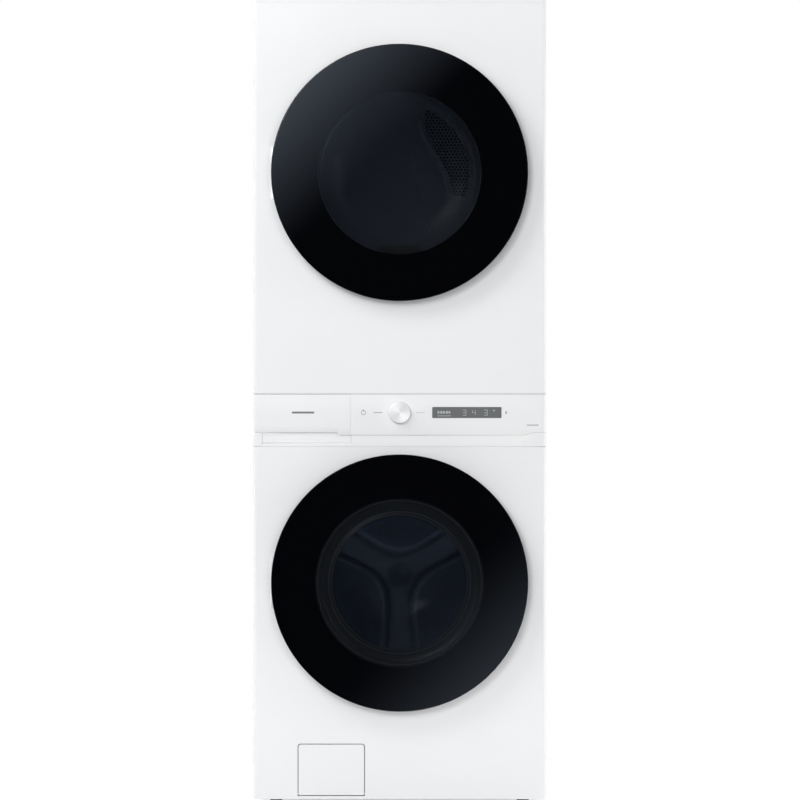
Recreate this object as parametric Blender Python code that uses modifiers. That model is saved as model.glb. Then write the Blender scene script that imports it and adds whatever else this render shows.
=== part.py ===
"""Laundry tower: a front-loading washer below and a dryer above, in one cabinet.

Metres, +Z up, the front faces -Y. The origin is on the floor under the middle of the whole object.
Depths are counted backwards from the flat front face, and heights from the floor. In turned profiles
a point is (radius, distance forward of the front face), so what lies inside the cabinet is negative.
"""

import math

import bmesh
import bpy
from mathutils import Matrix, Vector

# Cabinet
WIDTH = 0.686
HEIGHT = 1.897
CABINET_DEPTH = 0.760
FRONT_Y = -0.3625
FOOT_HEIGHT = 0.026
SHEET = 0.0012
GAP = 0.0003
CORNER_RADIUS = 0.008
RETURN_DEPTH = 0.0257
HALF = WIDTH / 2
INNER_HALF = HALF - SHEET - GAP
WASHER_PANEL_TOP = 0.851
FASCIA_TOP = 0.9742
DRYER_PANEL_BOTTOM = 0.975
DECK_HEIGHT = 0.967
TOP_BOTTOM = 1.8923
BACK_DEPTH = CABINET_DEPTH - SHEET - GAP

# Doors
WASHER_Z = 0.5334
DRYER_Z = 1.4914
OPENING_RADIUS = 0.205
DOOR_RADIUS = 0.300
DOOR_BACK = 0.004
RIM_FRONT = 0.046
LENS_RADIUS = 0.2965
HINGE_X = -0.290
HINGE_FORWARD = 0.034
LATCH_X = 0.2555

# Drums
WASHER_DRUM_RADIUS = 0.270
DRYER_DRUM_RADIUS = 0.318
ROLLER_RADIUS = 0.025
ROLLER_REACH = DRYER_DRUM_RADIUS + 0.0008 + ROLLER_RADIUS
ROLLER_ANGLE = math.radians(60)
LIFTER_ANGLES = (-90, 30, 150)

# Dryer drive: (x, height, radius)
DRUM_WHEEL = (0.0, DRYER_Z, DRYER_DRUM_RADIUS)
MOTOR_WHEEL = (0.060, 1.065, 0.012)
IDLER_WHEEL = (0.190, 1.100, 0.020)
BELT_DEPTH = 0.306

# Drawer, knob, display, service flap
DRAWER_RIGHT = -0.1151
LIP_LEFT = -0.3227
DRAWER_BOTTOM = 0.8843
LIP_BOTTOM = 0.8597
TRAY_BOTTOM = 0.888
COMPARTMENTS = ((-0.319, -0.2585), (-0.2555, -0.195), (-0.192, -0.131))
CONTROL_Z = 0.931
DISPLAY_X = (0.0768, 0.2383)
DISPLAY_HALF_HEIGHT = 0.0125
FLAP_X = (-0.237, -0.0826)
FLAP_Z = (0.035, 0.154)
FLAP_PIVOT = (0.0045, 0.0385)
FLAP_MARGIN = 0.0016
PUMP_X = -0.160
PUMP_Z = 0.095
FEET = {
    "foot_front_left": (-0.290, 0.060),
    "foot_front_right": (0.290, 0.060),
    "foot_back_left": (-0.290, 0.700),
    "foot_back_right": (0.290, 0.700),
}
EXHAUST = (-0.060, 1.065, 0.051)
VALVE_PORTS = (0.200, 0.240)
VALVE_Z = 0.920

# Roundness of turned pieces
BIG = 36
MEDIUM = 24
SMALL = 16

# Finishes: colour, roughness, metallic
WHITE_PAINT = ((0.86, 0.86, 0.87), 0.35, 0.0)
WHITE_PLASTIC = ((0.84, 0.84, 0.84), 0.45, 0.0)
BLACK_GLASS = ((0.01, 0.01, 0.012), 0.06, 0.0)
CLEAR_GLASS = ((0.55, 0.60, 0.62), 0.05, 0.0)
BLACK_PLASTIC = ((0.03, 0.03, 0.03), 0.5, 0.0)
GREY_PLASTIC = ((0.35, 0.36, 0.37), 0.5, 0.0)
STAINLESS = ((0.60, 0.61, 0.62), 0.28, 1.0)
ZINC = ((0.50, 0.51, 0.52), 0.4, 1.0)
RUBBER = ((0.22, 0.22, 0.23), 0.8, 0.0)
CONCRETE = ((0.45, 0.44, 0.42), 0.9, 0.0)
COPPER = ((0.60, 0.28, 0.14), 0.4, 1.0)

BACK = Vector((0, 1, 0))
FRONT = Vector((0, -1, 0))
UP = Vector((0, 0, 1))
FACING_FRONT = Matrix.Rotation(math.radians(90), 4, "X")
FACING_UP = Matrix.Identity(4)


def spot(x, depth, height):
    return Vector((x, FRONT_Y + depth, height))


# ---------------------------------------------------------------- scene and objects


def clear_scene():
    for item in list(bpy.data.objects):
        bpy.data.objects.remove(item, do_unlink=True)


def new_collection(name):
    collection = bpy.data.collections.new(name)
    bpy.context.scene.collection.children.link(collection)
    return collection


clear_scene()
TOWER = new_collection("laundry_tower")
CUTTERS = new_collection("cutters")


def make_tool(item):
    """Puts an object among the cutters, where it shapes others and isn't a part itself."""
    for collection in list(item.users_collection):
        collection.objects.unlink(item)
    CUTTERS.objects.link(item)
    item.hide_render = True
    item.display_type = "WIRE"


def add_object(name, mesh, finish=None):
    """A part with its own material, or a cutter when it has no finish."""
    item = bpy.data.objects.new(name, mesh)
    if finish is None:
        make_tool(item)
        return item
    TOWER.objects.link(item)
    colour, roughness, metallic = finish
    surface = bpy.data.materials.new(name)
    surface.use_nodes = True
    shader = surface.node_tree.nodes["Principled BSDF"]
    shader.inputs["Base Color"].default_value = (*colour, 1.0)
    shader.inputs["Roughness"].default_value = roughness
    shader.inputs["Metallic"].default_value = metallic
    item.data.materials.append(surface)
    return item


def mesh_from(shape, name):
    mesh = bpy.data.meshes.new(name)
    shape.to_mesh(mesh)
    shape.free()
    return mesh


def shade_round(item, angle=35):
    item.data.shade_smooth()
    item.data.set_sharp_from_angle(angle=math.radians(angle))


def box_shape(x, depth, height):
    """A bmesh cube between two corners, about the box's own middle, and that middle."""
    low = spot(x[0], depth[0], height[0])
    high = spot(x[1], depth[1], height[1])
    shape = bmesh.new()
    bmesh.ops.create_cube(shape, size=1.0)
    bmesh.ops.scale(shape, vec=high - low, verts=shape.verts)
    return shape, (low + high) / 2


def round_front_corners(shape, left_only=False):
    """Rounds the upright front edges of a box about its own middle."""
    corners = []
    for edge in shape.edges:
        low, high = (vertex.co for vertex in edge.verts)
        upright = abs(low.z - high.z) > abs(low.x - high.x) + abs(low.y - high.y)
        if upright and low.y < 0 and not (left_only and low.x > 0):
            corners.append(edge)
    bmesh.ops.bevel(
        shape, geom=corners, offset=CORNER_RADIUS, segments=4, profile=0.5, affect="EDGES"
    )


def block(name, x, depth, height, finish=None):
    shape, middle = box_shape(x, depth, height)
    item = add_object(name, mesh_from(shape, name), finish)
    item.location = middle
    return item


def rod(name, centre, radius, depth, finish=None, sides=MEDIUM):
    """A cylinder that runs from front to back, between two depths."""
    shape = bmesh.new()
    length = depth[1] - depth[0]
    bmesh.ops.create_cone(
        shape, cap_ends=True, segments=sides, radius1=radius, radius2=radius, depth=length
    )
    item = add_object(name, mesh_from(shape, name), finish)
    middle = spot(centre[0], (depth[0] + depth[1]) / 2, centre[1])
    item.matrix_world = Matrix.Translation(middle) @ FACING_FRONT
    if finish is not None:
        shade_round(item)
    return item


def turned(name, profile, place, finish=None, sides=BIG, facing=FACING_FRONT, closed=True):
    """Turns a profile of (radius, forward) points about an axis through place."""
    mesh = bpy.data.meshes.new(name)
    points = [(radius, 0.0, forward) for radius, forward in profile]
    edges = [(i, i + 1) for i in range(len(points) - 1)]
    if closed:
        edges.append((len(points) - 1, 0))
    mesh.from_pydata(points, edges, [])
    item = add_object(name, mesh, finish)
    screw = item.modifiers.new("turn", "SCREW")
    screw.axis = "Z"
    screw.steps = sides
    screw.render_steps = sides
    screw.use_merge_vertices = True
    screw.merge_threshold = 0.00001
    item.matrix_world = Matrix.Translation(place) @ facing
    return item


def plate(name, outlines, thickness, place, facing=FACING_FRONT, finish=None):
    """A flat piece of one thickness from closed outlines, where an inner outline is a hole."""
    curve = bpy.data.curves.new(name, "CURVE")
    curve.dimensions = "2D"
    curve.fill_mode = "BOTH"
    curve.extrude = thickness / 2
    for outline in outlines:
        spline = curve.splines.new("POLY")
        spline.points.add(len(outline) - 1)
        for point, (across, up) in zip(spline.points, outline):
            point.co = (across, up, 0.0, 1.0)
        spline.use_cyclic_u = True
    guide = bpy.data.objects.new(name + "_outline", curve)
    CUTTERS.objects.link(guide)
    guide.matrix_world = Matrix.Translation(place) @ facing
    bpy.context.view_layer.update()
    evaluated = guide.evaluated_get(bpy.context.evaluated_depsgraph_get())
    mesh = bpy.data.meshes.new_from_object(evaluated)
    shape = bmesh.new()
    shape.from_mesh(mesh)
    bmesh.ops.remove_doubles(shape, verts=shape.verts, dist=0.00001)
    shape.to_mesh(mesh)
    shape.free()
    mesh.materials.clear()
    item = add_object(name, mesh, finish)
    item.matrix_world = guide.matrix_world.copy()
    bpy.data.objects.remove(guide, do_unlink=True)
    return item


def shape_with(item, operation, tools):
    for tool in tools:
        boolean = item.modifiers.new(operation.lower() + "_" + tool.name, "BOOLEAN")
        boolean.operation = operation
        boolean.solver = "EXACT"
        boolean.object = tool


def cut(item, *tools):
    shape_with(item, "DIFFERENCE", tools)


def join(item, *tools):
    shape_with(item, "UNION", tools)


def arc(centre, radius, start, end, count):
    """Points on an arc between two angles in degrees, seen from the front."""
    points = []
    for step in range(count + 1):
        angle = math.radians(start + (end - start) * step / count)
        points.append((centre[0] + radius * math.cos(angle), centre[1] + radius * math.sin(angle)))
    return points


# ---------------------------------------------------------------- cabinet


def sheet_pan(name, x, depth, height, open_sides, finish=WHITE_PAINT, rounded=False, wall=SHEET):
    """A sheet metal pan: a box without the faces on its open sides, thickened inwards."""
    shape, middle = box_shape(x, depth, height)
    if rounded:
        round_front_corners(shape)
    shape.normal_update()
    gone = [face for face in shape.faces for side in open_sides if face.normal.dot(side) > 0.99]
    bmesh.ops.delete(shape, geom=gone, context="FACES")
    item = add_object(name, mesh_from(shape, name), finish)
    item.location = middle
    solidify = item.modifiers.new("sheet", "SOLIDIFY")
    solidify.thickness = wall
    solidify.offset = -1.0
    solidify.use_even_offset = True
    return item


def build_front_panels():
    width = (-HALF, HALF)
    depth = (0.0, RETURN_DEPTH)
    washer = sheet_pan(
        "washer_front_panel", width, depth, (FOOT_HEIGHT, WASHER_PANEL_TOP), [BACK], rounded=True
    )
    dryer = sheet_pan(
        "dryer_front_panel", width, depth, (DRYER_PANEL_BOTTOM, TOP_BOTTOM - GAP), [BACK],
        rounded=True,
    )
    for panel, height in ((washer, WASHER_Z), (dryer, DRYER_Z)):
        hole = rod("cut_mouth", (0, height), OPENING_RADIUS, (-0.01, 0.01), sides=BIG)
        slot = block(
            "cut_latch_slot", (LATCH_X - 0.011, LATCH_X + 0.0105), (-0.01, 0.01),
            (height - 0.008, height + 0.008),
        )
        cut(panel, hole, slot)
    flap_hole = block(
        "cut_flap_hole", (FLAP_X[0] - FLAP_MARGIN, FLAP_X[1] + FLAP_MARGIN), (-0.01, 0.01),
        (FLAP_Z[0] - FLAP_MARGIN, FLAP_Z[1] + FLAP_MARGIN),
    )
    cut(washer, flap_hole)


def build_cabinet():
    inner = (-INNER_HALF, INNER_HALF)
    side_depth = (0.026, CABINET_DEPTH)
    side_height = (FOOT_HEIGHT, TOP_BOTTOM - GAP)
    block("side_panel_left", (-HALF, -HALF + SHEET), side_depth, side_height, WHITE_PAINT)
    block("side_panel_right", (HALF - SHEET, HALF), side_depth, side_height, WHITE_PAINT)
    base = sheet_pan(
        "base_frame", inner, (0.026, BACK_DEPTH), (FOOT_HEIGHT, 0.060), [UP, FRONT], ZINC,
        wall=0.002,
    )
    for x, depth in FEET.values():
        hole = turned(
            "cut_foot_hole", [(0, 0.01), (0.0065, 0.01), (0.0065, -0.01), (0, -0.01)],
            spot(x, depth, FOOT_HEIGHT), sides=SMALL, facing=FACING_UP, closed=False,
        )
        cut(base, hole)
    back_depth = (BACK_DEPTH + GAP, CABINET_DEPTH)
    washer_back = block(
        "washer_back_panel", inner, back_depth, (FOOT_HEIGHT, DECK_HEIGHT - GAP), ZINC
    )
    for x in VALVE_PORTS:
        cut(washer_back, rod("cut_port", (x, VALVE_Z), 0.014, (0.75, 0.77), sides=SMALL))
    dryer_back = block(
        "dryer_back_panel", inner, back_depth, (DECK_HEIGHT + 0.0033, TOP_BOTTOM - GAP), ZINC
    )
    exhaust_hole = rod("cut_exhaust", EXHAUST[:2], EXHAUST[2] + 0.0012, (0.75, 0.77), sides=BIG)
    cut(dryer_back, exhaust_hole)
    block("middle_deck", inner, (0.032, BACK_DEPTH), (DECK_HEIGHT, DECK_HEIGHT + 0.003), ZINC)
    top_shape, middle = box_shape((-HALF, HALF), (0.0, CABINET_DEPTH), (TOP_BOTTOM, HEIGHT))
    round_front_corners(top_shape)
    top = add_object("top_cover", mesh_from(top_shape, "top_cover"), WHITE_PAINT)
    top.location = middle


def build_feet():
    profile = [
        (0, 0.058), (0.006, 0.058), (0.006, 0.0255), (0.014, 0.0255), (0.014, 0.018),
        (0.008, 0.016), (0.022, 0.008), (0.022, 0.0), (0, 0.0),
    ]
    for name, (x, depth) in FEET.items():
        turned(name, profile, spot(x, depth, 0.0), RUBBER, SMALL, FACING_UP, closed=False)


# ---------------------------------------------------------------- controls and drawer


def build_fascia():
    bottom = WASHER_PANEL_TOP + 0.0006
    shape, middle = box_shape((-HALF, HALF), (0.0, RETURN_DEPTH), (bottom, FASCIA_TOP))
    round_front_corners(shape)
    fascia = add_object("control_fascia", mesh_from(shape, "control_fascia"), WHITE_PLASTIC)
    fascia.location = middle
    drawer_room = block(
        "cut_drawer_room", (-0.36, DRAWER_RIGHT + GAP), (-0.01, 0.04), (DRAWER_BOTTOM - GAP, 1.0)
    )
    pull_recess = block(
        "cut_pull_recess", (LIP_LEFT - GAP, 0.300), (-0.01, 0.012), (0.84, 0.8775)
    )
    deep_recess = block(
        "cut_deep_recess", (LIP_LEFT - GAP, DRAWER_RIGHT + GAP), (-0.011, 0.017), (0.839, 0.89)
    )
    inside = block(
        "cut_fascia_inside", (DRAWER_RIGHT + 0.004, HALF - 0.003), (0.003, 0.03), (0.881, 0.971)
    )
    display = block(
        "cut_display", (DISPLAY_X[0] - GAP, DISPLAY_X[1] + GAP), (-0.01, 0.01),
        (CONTROL_Z - DISPLAY_HALF_HEIGHT - GAP, CONTROL_Z + DISPLAY_HALF_HEIGHT + GAP),
    )
    shaft = rod("cut_knob_shaft", (0, CONTROL_Z), 0.007, (-0.01, 0.01), sides=SMALL)
    cut(fascia, drawer_room, pull_recess, deep_recess, inside, display, shaft)
    block(
        "display_lens", DISPLAY_X, (0.0002, 0.0027),
        (CONTROL_Z - DISPLAY_HALF_HEIGHT, CONTROL_Z + DISPLAY_HALF_HEIGHT), BLACK_GLASS,
    )
    knob = [
        (0, 0.0175), (0.0222, 0.0175), (0.0248, 0.0150), (0.0255, 0.0006), (0.006, 0.0006),
        (0.006, -0.014), (0, -0.014),
    ]
    turned("cycle_knob", knob, spot(0, 0, CONTROL_Z), WHITE_PLASTIC, MEDIUM, closed=False)


def build_drawer():
    shape, middle = box_shape((-HALF, DRAWER_RIGHT), (0.0, 0.023), (DRAWER_BOTTOM, FASCIA_TOP))
    round_front_corners(shape, left_only=True)
    front = add_object("drawer_front", mesh_from(shape, "drawer_front"), WHITE_PLASTIC)
    front.location = middle
    lip = block(
        "join_grip_lip", (LIP_LEFT, DRAWER_RIGHT - 0.0001), (0.0001, 0.0032),
        (LIP_BOTTOM, DRAWER_BOTTOM + 0.003),
    )
    inside = block(
        "cut_drawer_inside", (-HALF + 0.003, DRAWER_RIGHT - 0.003), (0.0034, 0.03),
        (DRAWER_BOTTOM + 0.0035, FASCIA_TOP - 0.003),
    )
    join(front, lip)
    cut(front, inside)
    tray = block("drawer_tray", (-0.322, -0.128), (0.0235, 0.380), (TRAY_BOTTOM, 0.948), GREY_PLASTIC)
    for left, right in COMPARTMENTS:
        cut(tray, block("cut_compartment", (left, right), (0.027, 0.377), (TRAY_BOTTOM + 0.003, 0.96)))
    housing = sheet_pan(
        "dispenser_housing", (-0.330, -0.120), (0.031, 0.420), (0.858, 0.962), [FRONT],
        GREY_PLASTIC, wall=0.003,
    )
    outlet = block("cut_housing_outlet", (-0.24, -0.20), (0.36, 0.40), (0.85, 0.87))
    cut(housing, outlet)


def build_service_bay():
    pivot_depth, pivot_z = FLAP_PIVOT
    face = block("service_flap", FLAP_X, (0.0002, 0.0024), FLAP_Z, WHITE_PAINT)
    for left, right in ((-0.2425, -0.226), (-0.094, -0.0775)):
        barrel = block(
            "join_flap_barrel", (left, right), (0.0022, pivot_depth + 0.0018),
            (pivot_z - 0.0018, pivot_z + 0.0018),
        )
        join(face, barrel)
    origin = spot((FLAP_X[0] + FLAP_X[1]) / 2, pivot_depth, pivot_z)
    shift = face.location - origin
    face.data.transform(Matrix.Translation(shift))
    face.location = origin

    bay = sheet_pan(
        "drain_pump", (-0.245, -0.074), (0.0015, 0.062), (0.030, 0.160), [FRONT], GREY_PLASTIC,
        wall=0.002,
    )
    pump = rod("join_pump_body", (PUMP_X, PUMP_Z), 0.045, (0.061, 0.190))
    spout = block("join_pump_spout", (PUMP_X - 0.016, PUMP_X + 0.016), (0.13, 0.165), (0.13, 0.175))
    join(bay, pump, spout)
    cut(bay, rod("cut_pump_bore", (PUMP_X, PUMP_Z), 0.034, (0.05, 0.150)))
    cap = turned(
        "pump_filter_cap",
        [(0, -0.040), (0.032, -0.040), (0.032, -0.070), (0.026, -0.070), (0.026, -0.130), (0, -0.130)],
        spot(PUMP_X, 0, PUMP_Z), BLACK_PLASTIC, MEDIUM, closed=False,
    )
    handle = block(
        "join_cap_handle", (PUMP_X - 0.026, PUMP_X + 0.026), (0.020, 0.045),
        (PUMP_Z - 0.004, PUMP_Z + 0.004),
    )
    join(cap, handle)


# ---------------------------------------------------------------- doors


def build_lens(name, height):
    profile = [
        (0, 0.050), (0.120, 0.0496), (0.220, 0.0484), (0.284, 0.0470), (0.2945, 0.0458),
        (LENS_RADIUS, 0.0440), (LENS_RADIUS, 0.0420), (0.200, 0.0435), (0, 0.0450),
    ]
    turned(name, profile, spot(0, 0, height), BLACK_GLASS, closed=False)


def build_door_frame(name, height, inner_radius, ring_radius):
    """A hollow ring, open to the front where the lens closes it."""
    profile = [
        (DOOR_RADIUS, RIM_FRONT), (DOOR_RADIUS, DOOR_BACK), (ring_radius, DOOR_BACK),
        (ring_radius, DOOR_BACK + 0.004), (inner_radius, DOOR_BACK + 0.004),
        (inner_radius, 0.038), (inner_radius + 0.004, 0.038), (inner_radius + 0.004, 0.008),
        (DOOR_RADIUS - 0.003, 0.008), (DOOR_RADIUS - 0.003, RIM_FRONT),
    ]
    if ring_radius == inner_radius:
        profile[2:5] = [(ring_radius, DOOR_BACK)]
    frame = turned(name, profile, spot(0, 0, height), BLACK_PLASTIC)
    hinge_room = block(
        "cut_hinge_room", (-0.32, -0.262), (-0.041, 0.01), (height - 0.064, height + 0.064)
    )
    grip = block("cut_grip", (0.262, 0.32), (-0.026, 0.01), (height - 0.055, height + 0.055))
    cut(frame, hinge_room, grip)


def build_hinge(prefix, height):
    """Fixed bracket with two ears and a pin, the moving leaf on it, and the latch hook opposite."""
    axis = spot(HINGE_X, -HINGE_FORWARD, height)
    base = block(
        prefix + "_hinge_bracket", (HINGE_X - 0.010, HINGE_X + 0.0245), (-0.0033, -GAP),
        (height - 0.060, height + 0.060), ZINC,
    )
    foot_line = HINGE_FORWARD - 0.002
    outline = arc((0, 0), 0.0062, -20, -270, 10)
    outline += [(0.0115, foot_line), (0.0235, foot_line)]
    for middle in (-0.0525, 0.0525):
        ear = plate(
            "join_hinge_ear", [outline], 0.015, axis + Vector((0, 0, middle)), FACING_UP
        )
        join(base, ear)
    pin = turned(
        "join_hinge_pin", [(0, 0.055), (0.004, 0.055), (0.004, -0.055), (0, -0.055)],
        axis, sides=SMALL, facing=FACING_UP, closed=False,
    )
    join(base, pin)
    leaf = turned(
        prefix + "_hinge_leaf",
        [(0.0068, 0.0445), (0.0068, -0.0445), (0.0045, -0.0445), (0.0045, 0.0445)],
        axis, ZINC, SMALL, FACING_UP,
    )
    arm = block(
        "join_leaf_arm", (HINGE_X + 0.005, -0.215), (-0.0365, -0.0325),
        (height - 0.040, height + 0.040),
    )
    foot = block(
        "join_leaf_foot", (-0.250, -0.2151), (-0.034, -0.0083), (height - 0.0399, height + 0.0399)
    )
    join(leaf, arm, foot)
    hook = block(
        prefix + "_door_hook", (LATCH_X - 0.011, LATCH_X + 0.011), (-0.0037, -0.0012),
        (height - 0.012, height + 0.012), ZINC,
    )
    stem = block(
        "join_hook_stem", (LATCH_X - 0.0035, LATCH_X + 0.0035), (-0.002, 0.030),
        (height - 0.004, height + 0.004),
    )
    barb = block(
        "join_hook_barb", (LATCH_X - 0.0085, LATCH_X), (0.023, 0.0299),
        (height - 0.0039, height + 0.0039),
    )
    join(hook, stem, barb)


def build_washer_bowl():
    profile = [
        (0, -0.134), (0.097, -0.124), (0.150, 0.0), (0.151, 0.0125), (0.185, 0.0125),
        (0.185, 0.0084), (0.157, 0.0084), (0.156, 0.0), (0.118, -0.118), (0.098, -0.130),
        (0, -0.139),
    ]
    turned("washer_door_bowl", profile, spot(0, 0, WASHER_Z), CLEAR_GLASS, closed=False)


def build_dryer_window():
    profile = [
        (0, -0.014), (0.172, -0.011), (0.181, 0.008), (0.182, 0.012), (0.1900, 0.012),
        (0.1900, 0.004), (0.185, 0.004), (0.176, -0.015), (0, -0.018),
    ]
    turned("dryer_door_window", profile, spot(0, 0, DRYER_Z), CLEAR_GLASS, closed=False)


def build_doors():
    build_door_frame("washer_door_frame", WASHER_Z, 0.197, 0.160)
    build_door_frame("dryer_door_frame", DRYER_Z, 0.191, 0.191)
    for prefix, height in (("washer", WASHER_Z), ("dryer", DRYER_Z)):
        build_lens(prefix + "_door_lens", height)
        build_hinge(prefix, height)
    build_washer_bowl()
    build_dryer_window()
    lock = block(
        "washer_door_lock", (0.236, 0.274), (0.0016, 0.036), (WASHER_Z - 0.028, WASHER_Z + 0.028),
        BLACK_PLASTIC,
    )
    room = block(
        "cut_lock_room", (LATCH_X - 0.012, LATCH_X + 0.0115), (0.0, 0.0335),
        (WASHER_Z - 0.0085, WASHER_Z + 0.0085),
    )
    cut(lock, room)


# ---------------------------------------------------------------- washer inside


def build_washer_drum():
    centre = spot(0, 0, WASHER_Z)
    gasket = [
        (0.213, 0.003), (0.213, GAP), (0.2042, GAP), (0.2042, -0.020), (0.212, -0.030),
        (0.202, -0.050), (0.2148, -0.066), (0.2148, -0.072), (0.205, -0.072), (0.197, -0.050),
        (0.206, -0.030), (0.199, -0.018), (0.163, -0.013), (0.163, -0.006), (0.199, -0.003),
        (0.200, 0.003),
    ]
    turned("door_gasket", gasket, centre, RUBBER)
    radius = WASHER_DRUM_RADIUS
    drum_profile = [
        (0, -0.641), (radius - 0.002, -0.641), (radius - 0.002, -0.091), (0.200, -0.091),
        (0.200, -0.088), (radius, -0.088), (radius, -0.644), (0, -0.644),
    ]
    drum = turned("washer_drum", drum_profile, centre, STAINLESS, closed=False)
    for degrees in LIFTER_ANGLES:
        outline = [(0.205, -0.016), (0.2685, -0.030), (0.2685, 0.030), (0.205, 0.016)]
        facing = FACING_FRONT @ Matrix.Rotation(math.radians(degrees), 4, "Z")
        lifter = plate("join_lifter", [outline], 0.460, centre + Vector((0, 0.350, 0)), facing)
        join(drum, lifter)
    shaft = [
        (0, -0.6446), (0.045, -0.6446), (0.045, -0.656), (0.017, -0.658), (0.017, -0.728),
        (0, -0.728),
    ]
    hub = turned("drum_spider", shaft, centre, ZINC, MEDIUM, closed=False)
    for degrees in LIFTER_ANGLES:
        outline = [(0.0, -0.022), (0.240, -0.016), (0.240, 0.016), (0.0, 0.022)]
        facing = FACING_FRONT @ Matrix.Rotation(math.radians(degrees), 4, "Z")
        arm = plate("join_spider_arm", [outline], 0.0098, centre + Vector((0, 0.6500, 0)), facing)
        join(hub, arm)
    bearing = [(0.0314, -0.6604), (0.0314, -0.6676), (0.0176, -0.6676), (0.0176, -0.6604)]
    turned("drum_bearing", bearing, centre, STAINLESS, MEDIUM)
    stator = [(0.108, -0.672), (0.108, -0.700), (0.060, -0.700), (0.060, -0.672)]
    turned("motor_stator", stator, centre, COPPER, MEDIUM)
    rotor = [
        (0.122, -0.675), (0.122, -0.722), (0.0176, -0.722), (0.0176, -0.716), (0.114, -0.716),
        (0.114, -0.675),
    ]
    turned("motor_rotor", rotor, centre, ZINC, MEDIUM)


def build_tub():
    centre = spot(0, 0, WASHER_Z)
    profile = [
        (0.298, -0.068), (0.298, -0.668), (0.032, -0.668), (0.032, -0.660), (0.292, -0.660),
        (0.292, -0.076), (0.2154, -0.076), (0.2154, -0.068),
    ]
    tub = turned("washer_tub", profile, centre, GREY_PLASTIC)
    for side in (-1, 1):
        x = sorted((side * 0.210, side * 0.298))
        lug = block("join_spring_lug", x, (0.460, 0.480), (0.722, 0.736))
        join(tub, lug)
    weight = [(0.292, -0.040), (0.292, -0.0675), (0.222, -0.0675), (0.222, -0.040)]
    turned("counterweight", weight, centre, CONCRETE)


def coil_points(x, depth, bottom, top, radius, turns, per_turn=9):
    """A straight hook, a coil and a straight hook, as one upright line."""
    middle = spot(x, depth, 0)
    points = [middle + Vector((0, 0, bottom))]
    length = top - bottom
    coil_bottom = bottom + 0.15 * length
    coil_length = 0.7 * length
    for step in range(turns * per_turn + 1):
        angle = 2 * math.pi * step / per_turn
        rise = coil_bottom + coil_length * step / (turns * per_turn)
        points.append(middle + Vector((radius * math.cos(angle), radius * math.sin(angle), rise)))
    points.append(middle + Vector((0, 0, top)))
    return points


def build_suspension():
    for side, label in ((-1, "left"), (1, "right")):
        name = "suspension_spring_" + label
        curve = bpy.data.curves.new(name, "CURVE")
        curve.dimensions = "3D"
        curve.bevel_depth = 0.0017
        curve.bevel_resolution = 2
        curve.use_fill_caps = True
        spline = curve.splines.new("POLY")
        points = coil_points(side * 0.290, 0.470, 0.7365, 0.9665, 0.012, 5)
        spline.points.add(len(points) - 1)
        for point, place in zip(spline.points, points):
            point.co = (*place, 1.0)
        add_object(name, curve, ZINC)
        low = spot(side * 0.262, 0.370, 0.064)
        high = spot(side * 0.176, 0.370, 0.287)
        length = (high - low).length
        profile = [
            (0, length), (0.005, length), (0.005, 0.5 * length), (0.012, 0.5 * length),
            (0.012, 0.0), (0, 0.0),
        ]
        lean = (high - low).to_track_quat("Z", "Y").to_matrix().to_4x4()
        turned("shock_absorber_" + label, profile, low, ZINC, 12, lean, closed=False)


def build_water_valve():
    valve = block(
        "water_valve", (0.180, 0.260), (0.700, 0.745), (VALVE_Z - 0.020, VALVE_Z + 0.020),
        WHITE_PLASTIC,
    )
    for x in VALVE_PORTS:
        join(valve, rod("join_valve_port", (x, VALVE_Z), 0.013, (0.740, 0.775), sides=SMALL))


# ---------------------------------------------------------------- dryer inside


def roller_place(side):
    x = side * ROLLER_REACH * math.cos(ROLLER_ANGLE)
    return x, DRYER_Z - ROLLER_REACH * math.sin(ROLLER_ANGLE)


def build_dryer_drum():
    centre = spot(0, 0, DRYER_Z)
    radius = DRYER_DRUM_RADIUS
    profile = [
        (radius, -0.084), (radius, -0.690), (radius - 0.002, -0.690), (radius - 0.002, -0.084)
    ]
    drum = turned("dryer_drum", profile, centre, STAINLESS)
    for degrees in LIFTER_ANGLES:
        outline = [(0.275, -0.010), (0.3165, -0.022), (0.3165, 0.022), (0.275, 0.010)]
        facing = FACING_FRONT @ Matrix.Rotation(math.radians(degrees), 4, "Z")
        vane = plate("join_vane", [outline], 0.520, centre + Vector((0, 0.387, 0)), facing)
        join(drum, vane)
    for side, label in ((-1, "left"), (1, "right")):
        x, height = roller_place(side)
        place = spot(x, 0, height)
        roller = [
            (ROLLER_RADIUS, -0.095), (ROLLER_RADIUS, -0.115), (0.0052, -0.115), (0.0052, -0.095)
        ]
        turned("drum_roller_" + label, roller, place, RUBBER, SMALL)


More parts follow.
